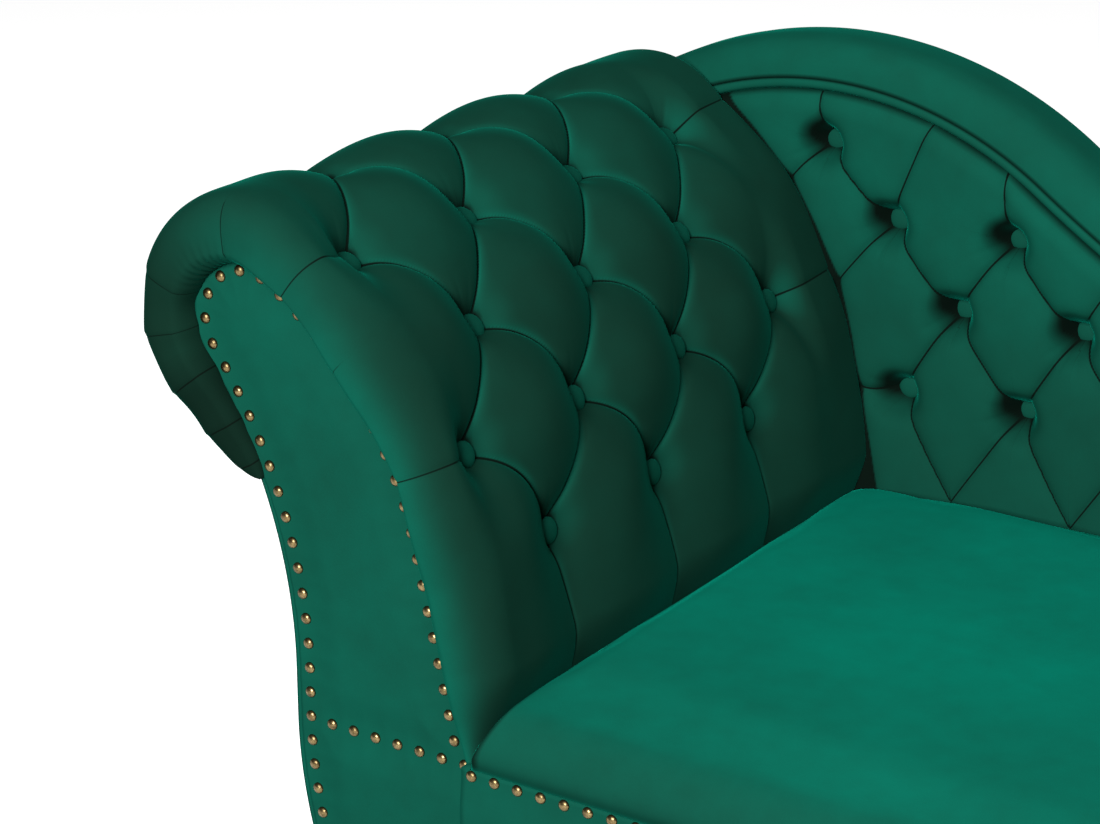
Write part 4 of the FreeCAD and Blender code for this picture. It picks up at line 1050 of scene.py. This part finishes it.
class CHAISE_OT_seat(bpy.types.Operator):
    """Plain seat cushion, rounded over its front and foot end, swollen by its filling"""
    bl_idname = "chaise.seat"
    bl_label = "Seat"

    def execute(self, context):
        size, _ = scene_groups()
        low_corner, high_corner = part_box("seat_cover")
        low = low_corner.z - CORNER.z
        rear = high_corner.y - CORNER.y
        left = self.arm_side(size, low)
        right = high_corner.x - CORNER.x
        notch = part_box("back_border")[1].x - CORNER.x + 0.001
        middle = size.seat_depth + BACK_PRESS
        front = -size.band_proud
        corner_reach, arm_reach, front_reach, tuck_shade_reach = 0.12, 0.05, 0.03, 0.014
        front_swell = 0.004
        x_stops = self.stops(left, notch, right)
        y_stops = self.stops(front, middle, rear)
        x, y = np.meshgrid(x_stops, y_stops, indexing="ij")
        sides = self.rounding(x - left, size.seat_side) * self.rounding(right - x, size.seat_front)
        behind = np.where(x < notch + 1e-6, middle, rear)
        sides = sides * self.rounding(y - front, size.seat_front)
        sides = sides * self.rounding(behind - y, size.seat_side)
        sides = np.where((x > notch) & (y > middle - size.seat_side),
                         np.minimum(sides, self.rounding(x - notch, size.seat_side) + (y < middle)), sides)
        away = np.hypot(np.maximum(SEAT_CORNER - x + left, 0), np.maximum(SEAT_CORNER - behind + y, 0))
        sides = np.minimum(sides, self.rounding(SEAT_CORNER - away, size.seat_side))
        part = np.clip((y - front) / (middle - front), 0, 1)
        crown = np.sin(np.clip((x - left) / (right - left), 0, 1) * math.pi) ** 0.5
        crown = crown * np.sin(part * math.pi) ** 0.6
        along = ease(2 * part) * (1 - np.exp(-(x - left) / corner_reach))
        top = size.seat_rise + size.seat_bow * (1 - (1 - np.sin(math.pi * part) ** 0.8) * (1 - along))
        height = low + (top - low) * sides + 0.4 * size.seat_crown * crown * sides
        # Painted light and shade: lighter on the flat top, darker where the front slopes down.
        tilt = np.arctan(np.maximum(np.gradient(height, y_stops, axis=1), 0))
        nap = 0.22 + 0.27 * np.exp(-tilt / 0.06) + 0.38 * np.exp(-tilt / 0.60)
        leaning = (self.arm_side(size, height) - left) * np.exp(-(x - left) / arm_reach)
        swell = np.sin(math.pi * np.clip((height - low) / (top - low), 0, 1))
        over = front_swell * np.exp(-(y - front) / front_reach) * swell
        points = points_of(x + leaning, y - over, height)
        rows, columns = x.shape
        cells = grid_faces(rows, columns)
        flat = points.reshape(-1, 3)
        centre = np.stack([x.ravel()[cells].mean(1), y.ravel()[cells].mean(1)], 1)
        cells = cells[~((centre[:, 0] < notch) & (centre[:, 1] > middle))]
        # Painted shade in a strip along the edges tucked against the arm and the back.
        inner = np.minimum(x - left, np.where(x < notch, middle - y, 1.0))
        piece = self.close(flat, cells, fold=ease(1 - inner / tuck_shade_reach).ravel(), nap=nap.ravel())
        self.swell(piece, size.seat_crown)
        cover_piece(piece, "seat_cover", "seat_foam", fill=0.95)
        return {"FINISHED"}

    def arm_side(self, size, z):
        """Where the padding of the arm ends over the seat, by height."""
        lean = size.inner_lean
        return arm_foot(size, z / math.cos(lean)) / math.cos(lean) - z * math.tan(lean) - ARM_PRESS

    def stops(self, first, break_at, last):
        """Places from end to end by way of a break, close together near all three."""
        parts = []
        for start, end in ((first, break_at), (break_at, last)):
            share = np.linspace(0, 1, 24 + round((end - start) / 0.018))
            share = share - 0.85 * np.sin(2 * math.pi * share) / (2 * math.pi)
            parts.append(start + (end - start) * share)
        return np.concatenate([parts[0][:-1], parts[1]])

    def rounding(self, away, radius):
        """Height share of a quarter-round edge at distances from it."""
        return np.sqrt(1 - (1 - np.clip(away / radius, 0, 1)) ** 2)

    def close(self, points, cells, **attributes):
        """Drop unused points and close the bottom with one flat face."""
        used = np.unique(cells)
        place = np.zeros(len(points), int)
        place[used] = np.arange(len(used))
        cells = place[cells]
        points = points[used]
        outward = {}
        pairs = {(a, b) for cell in cells for a, b in zip(cell, np.roll(cell, -1))}
        for a, b in pairs:
            if (b, a) not in pairs:
                outward[b] = a
        start = next(iter(outward))
        loop = [start]
        while outward[loop[-1]] != start:
            loop.append(outward[loop[-1]])
        attributes = {key: values[used] for key, values in attributes.items()}
        return new_piece("seat_cushion", points, cells.tolist() + [loop], **attributes)

    def swell(self, piece, most):
        """Let the filling swell the top of the cushion; its walls stay taut down to their nails."""
        mesh = piece.data
        before = np.array([v.co for v in mesh.vertices])
        held = piece.vertex_groups.new(name="held")
        rise = (before[:, 2] - before[:, 2].min()) / np.ptp(before[:, 2])
        for k, hold in enumerate(1 - ramp(rise, 0.6, 0.35)):
            held.add([k], float(hold), "REPLACE")
        cloth = piece.modifiers.new("filling", "CLOTH")
        cloth.settings.quality = 5
        cloth.settings.mass = 0.3
        cloth.settings.tension_stiffness = 30
        cloth.settings.compression_stiffness = 30
        cloth.settings.bending_stiffness = 2
        cloth.settings.use_pressure = True
        cloth.settings.uniform_pressure_force = 4
        cloth.settings.vertex_group_mass = "held"
        cloth.settings.effector_weights.gravity = 0
        cloth.point_cache.frame_end = 20
        scene = bpy.context.scene
        for step in range(1, SWELL_STEPS + 1):
            scene.frame_set(step)
        shape = piece.evaluated_get(bpy.context.evaluated_depsgraph_get())
        after = np.array([v.co for v in shape.data.vertices])
        scene.frame_set(1)
        piece.modifiers.remove(cloth)
        piece.vertex_groups.clear()
        move = after - before
        far = np.linalg.norm(move, axis=1, keepdims=True)
        move = move * np.minimum(1, most / np.maximum(far, 1e-9))
        mesh.vertices.foreach_set("co", (before + move).ravel())
        mesh.update()


def puffed_panel(name, left, right, rows, across, puff, inside):
    """A nailed panel: a puffed face between two edges, drawn in at its rim, over a flat back.

    left and right are point rows along its edges, across the direction the face looks in.
    """
    share = np.linspace(0, 1, rows)
    grid = left[:, None, :] * (1 - share)[None, :, None] + right[:, None, :] * share[None, :, None]
    rise = puff(grid)
    face = grid + np.array(across) * rise[..., None]
    count = len(left)
    points = np.concatenate([face.reshape(-1, 3), (grid - np.array(across) * inside).reshape(-1, 3)])
    top = grid_faces(count, rows)
    bottom = top[:, ::-1] + count * rows
    rim = grid_rim(count, rows)
    faces = np.concatenate([top, bottom]).tolist()
    for a, b in zip(rim, np.roll(rim, -1)):
        faces.append([a, b, b + count * rows, a + count * rows])
    return new_piece(name, points, faces)


def local_box(node):
    """Two corners of a node of the frame, from the local corner."""
    return [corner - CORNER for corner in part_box(node)]


def nail_places(node):
    """Middles of the nails in a node of the frame, from the local corner."""
    return np.array([middle for middle, _ in islands(node)]) - np.array(CORNER)


def drawn_in(places, plane, reach, most):
    """Puff of a panel: full in the middle and drawn in round every nail."""
    def puff(grid):
        away = np.full(grid.shape[:2], 1.0)
        for place in places:
            gap = np.delete(grid - place, plane, axis=2)
            away = np.minimum(away, np.hypot(gap[..., 0], gap[..., 1]))
        return most * ramp(away, 0.004, reach)
    return puff


class CHAISE_OT_panels(bpy.types.Operator):
    """Arm facing, front and foot bands and the outside covers, drawn in by their nails"""
    bl_idname = "chaise.panels"
    bl_label = "Panels"

    def execute(self, context):
        size, _ = scene_groups()
        scroll = Scroll(size)
        self.facing(size, scroll)
        self.bands(size)
        self.arm_cover(size, scroll)
        self.back_cover(size, scroll)
        return {"FINISHED"}

    def facing(self, size, scroll):
        """Scrolled panel on the front of the arm, nailed round its edge."""
        low = -size.base_height
        round_top = np.sin(np.linspace(0, math.pi / 2, 40))
        z = np.arange(low, size.roll_up, 0.003)
        z = np.concatenate([z, size.roll_up + size.lobe_radius * round_top])
        lean = size.inner_lean
        lobe = np.sqrt(np.maximum(size.lobe_radius ** 2 - (z - size.roll_up) ** 2, 0))
        bend = scroll.inner.x + np.sqrt(size.inner_radius ** 2 - (z - scroll.inner.y) ** 2)
        turn_z = scroll.inner.y + size.inner_radius * math.sin(scroll.crown)
        foot_z = scroll.inner.y + size.inner_radius * math.sin(lean)
        right = np.select([z < 0, z < foot_z, z < turn_z], [0 * z, -z * math.tan(lean), bend],
                          scroll.lobe.x + lobe)
        left = np.where(z < scroll.meet, scroll.outside(z), scroll.lobe.x - lobe)
        puff = drawn_in(nail_places("arm_facing_nails"), 1, NAIL_REACH, size.panel_puff)
        piece = puffed_panel("facing_panel", points_of(left, 0.0, z), points_of(right, 0.0, z), rows=70,
                             across=(0, -1, 0), puff=puff, inside=size.facing_thickness)
        cover_piece(piece, "arm_facing", fill=0.9)

    def bands(self, size):
        """Nailed bands over the front rail and the foot rail."""
        nails = nail_places("band_nails")
        for name, node, plane in (("front_panel", "front_band", 1), ("foot_panel", "foot_band", 0)):
            low, high = local_box(node)
            z = np.linspace(low.z, high.z, 60)
            if plane == 1:
                depth, across = high.y - low.y, (0, -1, 0)
                first, last = points_of(low.x, low.y, z), points_of(high.x, low.y, z)
            else:
                depth, across = high.x - low.x, (1, 0, 0)
                first, last = points_of(high.x, low.y, z), points_of(high.x, high.y, z)
            rows = max(40, round((last[0] - first[0]).max() / 0.005))
            puff = drawn_in(nails, plane, NAIL_REACH, size.panel_puff)
            piece = puffed_panel(name, first, last, rows, across, puff, depth)
            cover_piece(piece, node, fill=0.9)

    def arm_cover(self, size, scroll):
        """Outside of the arm, from its underside up into the hollow under the roll."""
        low, high = local_box("arm_outside_cover")
        z = np.linspace(low.z, scroll.meet, 130)
        x = scroll.outside(z) - 0.0004

        def puff(grid):
            return self.hemmed(size, np.minimum(grid[..., 1] - low.y, high.y - grid[..., 1]))
        piece = puffed_panel("arm_outside_panel", points_of(x, low.y, z), points_of(x, high.y, z),
                             rows=120, across=(-1, 0, 0), puff=puff, inside=0.0)
        cover_piece(piece, "arm_outside_cover", fill=0.9)

    def back_cover(self, size, scroll):
        """Outside of the back, from its underside up to the border."""
        low, high = local_box("back_outside_cover")
        crown = CrownLine(size, scroll)
        x = np.linspace(low.x + 0.001, high.x, 260)
        top = crown.height(-size.border_cap, np.minimum(x, crown.end_x - size.border_cap))
        top = np.where(x > crown.end_x - size.border_cap, size.cover_overlap, top)
        inward = np.maximum(size.base_radius - size.arm_width - x, 0)
        base = -np.sqrt(np.maximum(size.base_radius ** 2 - inward ** 2, 0))
        across = np.clip(x - scroll.outer.x, 0, size.outer_radius)
        hollow = scroll.outer.y + np.sqrt(size.outer_radius ** 2 - across ** 2)
        hem = np.where(x < -size.arm_width, hollow, np.maximum(low.z, base))
        hem = np.minimum(hem, top - 0.002)

        def puff(grid):
            return self.hemmed(size, np.minimum(top[:, None] - grid[..., 2], grid[..., 2] - hem[:, None]))
        piece = puffed_panel("back_outside_panel", points_of(x, low.y, hem), points_of(x, low.y, top),
                             rows=120, across=(0, 1, 0), puff=puff, inside=0.0)
        cover_piece(piece, "back_outside_cover", fill=0.9)

    def hemmed(self, size, away):
        """Padding of an outside cover, thinner towards its hem."""
        return size.cover_thickness * (0.6 + 0.4 * ease(away / 0.03))


def repeat_piece(name, pattern, places, directions):
    """Join copies of a small pattern, set on places and turned to look in given directions."""
    context = bpy.context
    copies = []
    for place, direction in zip(places, directions):
        copy = bpy.data.objects.new(name, pattern.data.copy())
        turn = Vector(direction).to_track_quat("Z", "Y").to_matrix().to_4x4()
        copy.data.transform(Matrix.Translation(Vector(place)) @ turn @ pattern.matrix_basis)
        context.scene.collection.objects.link(copy)
        copies.append(copy)
    bpy.data.objects.remove(pattern)
    bpy.ops.object.select_all(action="DESELECT")
    for copy in copies:
        copy.select_set(True)
    context.view_layer.objects.active = copies[0]
    bpy.ops.object.join()
    copies[0].name = name
    return copies[0]


def turned_piece(radius, segments, rings):
    """A small round piece: a disc extruded and drawn in ring by ring, given as (radius, height)."""
    bpy.ops.object.select_all(action="DESELECT")
    bpy.ops.mesh.primitive_circle_add(vertices=segments, radius=radius, fill_type="NGON")
    piece = bpy.context.object
    bpy.ops.object.mode_set(mode="EDIT")
    bpy.ops.mesh.select_all(action="SELECT")
    level = 0.0
    for ring, height in rings:
        bpy.ops.mesh.extrude_region_move(TRANSFORM_OT_translate={"value": (0, 0, height - level)})
        bpy.ops.transform.resize(value=(ring / radius, ring / radius, 1))
        radius, level = ring, height
    bpy.ops.mesh.select_all(action="SELECT")
    bpy.ops.mesh.normals_make_consistent(inside=False)
    bpy.ops.object.mode_set(mode="OBJECT")
    bpy.ops.object.shade_smooth()
    return piece


class CHAISE_OT_nails(bpy.types.Operator):
    """Domed brass nails with a thin rim"""
    bl_idname = "chaise.nails"
    bl_label = "Nails"

    def execute(self, context):
        size, _ = scene_groups()
        for node in ("arm_facing_nails", "band_nails"):
            places, directions = [], []
            for middle, extent in islands(node):
                thin = int(np.argmin(extent))
                direction = np.zeros(3)
                direction[thin] = 1.0 if thin == 0 else -1.0
                directions.append(direction)
                places.append(middle - direction * extent[thin] / 2)
            piece = repeat_piece(node + "_heads", self.head(size), places, directions)
            finish_piece(piece, brass_look(), "nails", node)
        return {"FINISHED"}

    def head(self, size):
        """One nail head: a disc with a thin rim, raised to a dome ring by ring."""
        rim = 0.0004
        sunk = 0.001
        rings = [(size.nail_radius, sunk + rim)]
        rings += [(size.nail_radius * math.cos(a), sunk + rim + (size.nail_height - rim) * math.sin(a))
                  for a in np.radians((25, 55, 82))]
        head = turned_piece(size.nail_radius, 12, rings)
        head.location.z = -sunk
        return head


class CHAISE_OT_buttons(bpy.types.Operator):
    """Velvet-covered buttons at the bottom of the tufts"""
    bl_idname = "chaise.buttons"
    bl_label = "Buttons"

    def execute(self, context):
        size, _ = scene_groups()
        scroll = Scroll(size)
        spots = np.array(list(arm_buttons(size).values()))
        x, z, turn = scroll.place(spots[:, 0])
        middles = np.array([middle for middle, _ in islands("arm_buttons")])
        out = points_of(np.cos(turn), 0.0, np.sin(turn))
        bare = points_of(x, spots[:, 1], z) + np.array(CORNER)
        above_board, sunk = 0.030, 0.0135
        places = []
        for spot, way in zip(bare, out):
            away = np.linalg.norm(middles - spot - above_board * way, axis=1)
            places.append(middles[np.argmin(away)] - sunk * way)
        piece = repeat_piece("arm_button_set", self.button(size), places, out)
        # Painted light of the buttons' velvet: the arm's a little darker than the panels, the back's
        # darker still.
        cover_piece(piece, "arm_buttons", nap=0.3)
        sunk = 0.026
        middles = [middle + (0, sunk, 0) for middle, _ in islands("back_buttons")]
        piece = repeat_piece("back_button_set", self.button(size), middles, [(0, -1, 0)] * len(middles))
        cover_piece(piece, "back_buttons", nap=0.25)
        return {"FINISHED"}

    def button(self, size):
        """One button: a full dome that tucks in at its base."""
        radius = size.button_radius
        waist, dome = 0.45 * size.button_height, 0.75 * size.button_height
        rings = [(radius, waist)]
        rings += [(radius * math.cos(a) ** 0.8, waist + dome * math.sin(a))
                  for a in np.radians((14, 28, 42, 56, 70, 82))]
        return turned_piece(0.82 * radius, 28, rings)


class CHAISE_OT_frame(bpy.types.Operator):
    """Finishes of the timber, steel and cloth of the frame that stay as they are"""
    bl_idname = "chaise.frame"
    bl_label = "Frame finishes"

    def execute(self, context):
        _, colours = scene_groups()
        timber = stained_wood("frame_timber", colours.frame_wood, 0.72, (9.0, 60.0, 60.0))
        legs = stained_wood("leg_stain", colours.leg_wood, 0.45, (70.0, 70.0, 8.0))
        steel = plain_stuff("spring_steel", (0.42, 0.42, 0.43), (0.30, 0.30, 0.31), 900.0, 0.32, 1.0)
        felt = plain_stuff("grey_felt", (0.30, 0.29, 0.28), (0.20, 0.19, 0.18), 1300.0, 0.88)
        lining = plain_stuff("black_lining", (0.035, 0.035, 0.035), (0.018, 0.018, 0.018), 1500.0, 0.85)
        plastic = plain_stuff("glide_plastic", (0.05, 0.05, 0.05), (0.035, 0.035, 0.035), 400.0, 0.45)
        looks = {"leg_glides": plastic, "leg_bolts": steel, "seat_springs": steel, "spring_clips": steel,
                 "seat_felt": felt, "dust_cover": lining, "arm_lining": lining}
        for name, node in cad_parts.items():
            legged = name.startswith("leg_") and name not in looks
            look = looks.get(name, legs if legged else timber)
            node.data.materials.clear()
            node.data.materials.append(look)
        return {"FINISHED"}


class CHAISE_OT_stage(bpy.types.Operator):
    """Pale floor, soft studio light and the camera"""
    bl_idname = "chaise.stage"
    bl_label = "Stage"

    def execute(self, context):
        scene = context.scene
        view, colours = scene.chaise_view, scene.chaise_colours
        bpy.ops.object.select_all(action="DESELECT")
        bpy.ops.mesh.primitive_plane_add(size=40, location=(0, 0, 0))
        floor = context.object
        floor.name = "studio_floor"
        look = Look("studio_floor", **{"Base Color": rgba(colours.floor), "Roughness": 0.9,
                                       "Emission Color": rgba(colours.floor), "Emission Strength": 0.8})
        floor.data.materials.append(look.material)
        floor.visible_diffuse = False
        world = bpy.data.worlds.new("studio")
        world.use_nodes = True
        world.node_tree.nodes["Background"].inputs["Color"].default_value = (1, 1, 1, 1)
        world.node_tree.nodes["Background"].inputs["Strength"].default_value = 0.10
        scene.world = world
        self.light("key", place=(0.75, -4.0, 2.3), aim=(0.0, 0.0, 0.5), side=1.6, power=420)
        self.light("top", place=(0.5, 0.6, 3.6), aim=(0.2, 0.0, 0.4), side=2.0, power=40)
        forward = Vector((-math.sin(view.azimuth) * math.cos(view.elevation),
                          math.cos(view.azimuth) * math.cos(view.elevation),
                          -math.sin(view.elevation)))
        camera = bpy.data.cameras.new("camera")
        camera.lens = view.lens
        camera.sensor_width = 36
        camera.sensor_fit = "HORIZONTAL"
        camera.clip_end = 100
        holder = bpy.data.objects.new("camera", camera)
        holder.location = CORNER + Vector(view.aim) - forward * view.distance
        holder.rotation_euler = forward.to_track_quat("-Z", "Y").to_euler()
        scene.collection.objects.link(holder)
        scene.camera = holder
        scene.view_settings.view_transform = "Standard"
        return {"FINISHED"}

    def light(self, name, place, aim, side, power):
        """A soft square light, aimed at a place."""
        lamp = bpy.data.lights.new(name, "AREA")
        lamp.size = side
        lamp.energy = power
        holder = bpy.data.objects.new(name, lamp)
        holder.location = place
        holder.rotation_euler = (Vector(aim) - Vector(place)).to_track_quat("-Z", "Y").to_euler()
        bpy.context.scene.collection.objects.link(holder)


class CHAISE_PT_sidebar(bpy.types.Panel):
    """Lists the pieces of the chaise in the order they are made"""
    bl_idname = "CHAISE_PT_sidebar"
    bl_label = "Chaise longue"
    bl_space_type = "VIEW_3D"
    bl_region_type = "UI"
    bl_category = "Chaise"

    def draw(self, context):
        for operator in OPERATORS:
            self.layout.operator(operator.bl_idname)


OPERATORS = (CHAISE_OT_frame, CHAISE_OT_arm_pad, CHAISE_OT_back_pad, CHAISE_OT_border, CHAISE_OT_seat,
             CHAISE_OT_panels, CHAISE_OT_buttons, CHAISE_OT_nails, CHAISE_OT_stage)
GROUPS = (ChaiseSizes, ChaiseColours, ChaiseView)


def register():
    for group in GROUPS + OPERATORS + (CHAISE_PT_sidebar,):
        bpy.utils.register_class(group)
    bpy.types.Scene.chaise_sizes = bpy.props.PointerProperty(type=ChaiseSizes)
    bpy.types.Scene.chaise_colours = bpy.props.PointerProperty(type=ChaiseColours)
    bpy.types.Scene.chaise_view = bpy.props.PointerProperty(type=ChaiseView)


def unregister():
    del bpy.types.Scene.chaise_view
    del bpy.types.Scene.chaise_colours
    del bpy.types.Scene.chaise_sizes
    for group in reversed(GROUPS + OPERATORS + (CHAISE_PT_sidebar,)):
        bpy.utils.unregister_class(group)


def main():
    register()
    bpy.ops.chaise.frame()
    bpy.ops.chaise.arm_pad()
    bpy.ops.chaise.back_pad()
    bpy.ops.chaise.border()
    bpy.ops.chaise.seat()
    bpy.ops.chaise.panels()
    bpy.ops.chaise.buttons()
    bpy.ops.chaise.nails()
    bpy.ops.chaise.stage()


if __name__ == "__main__":
    main()
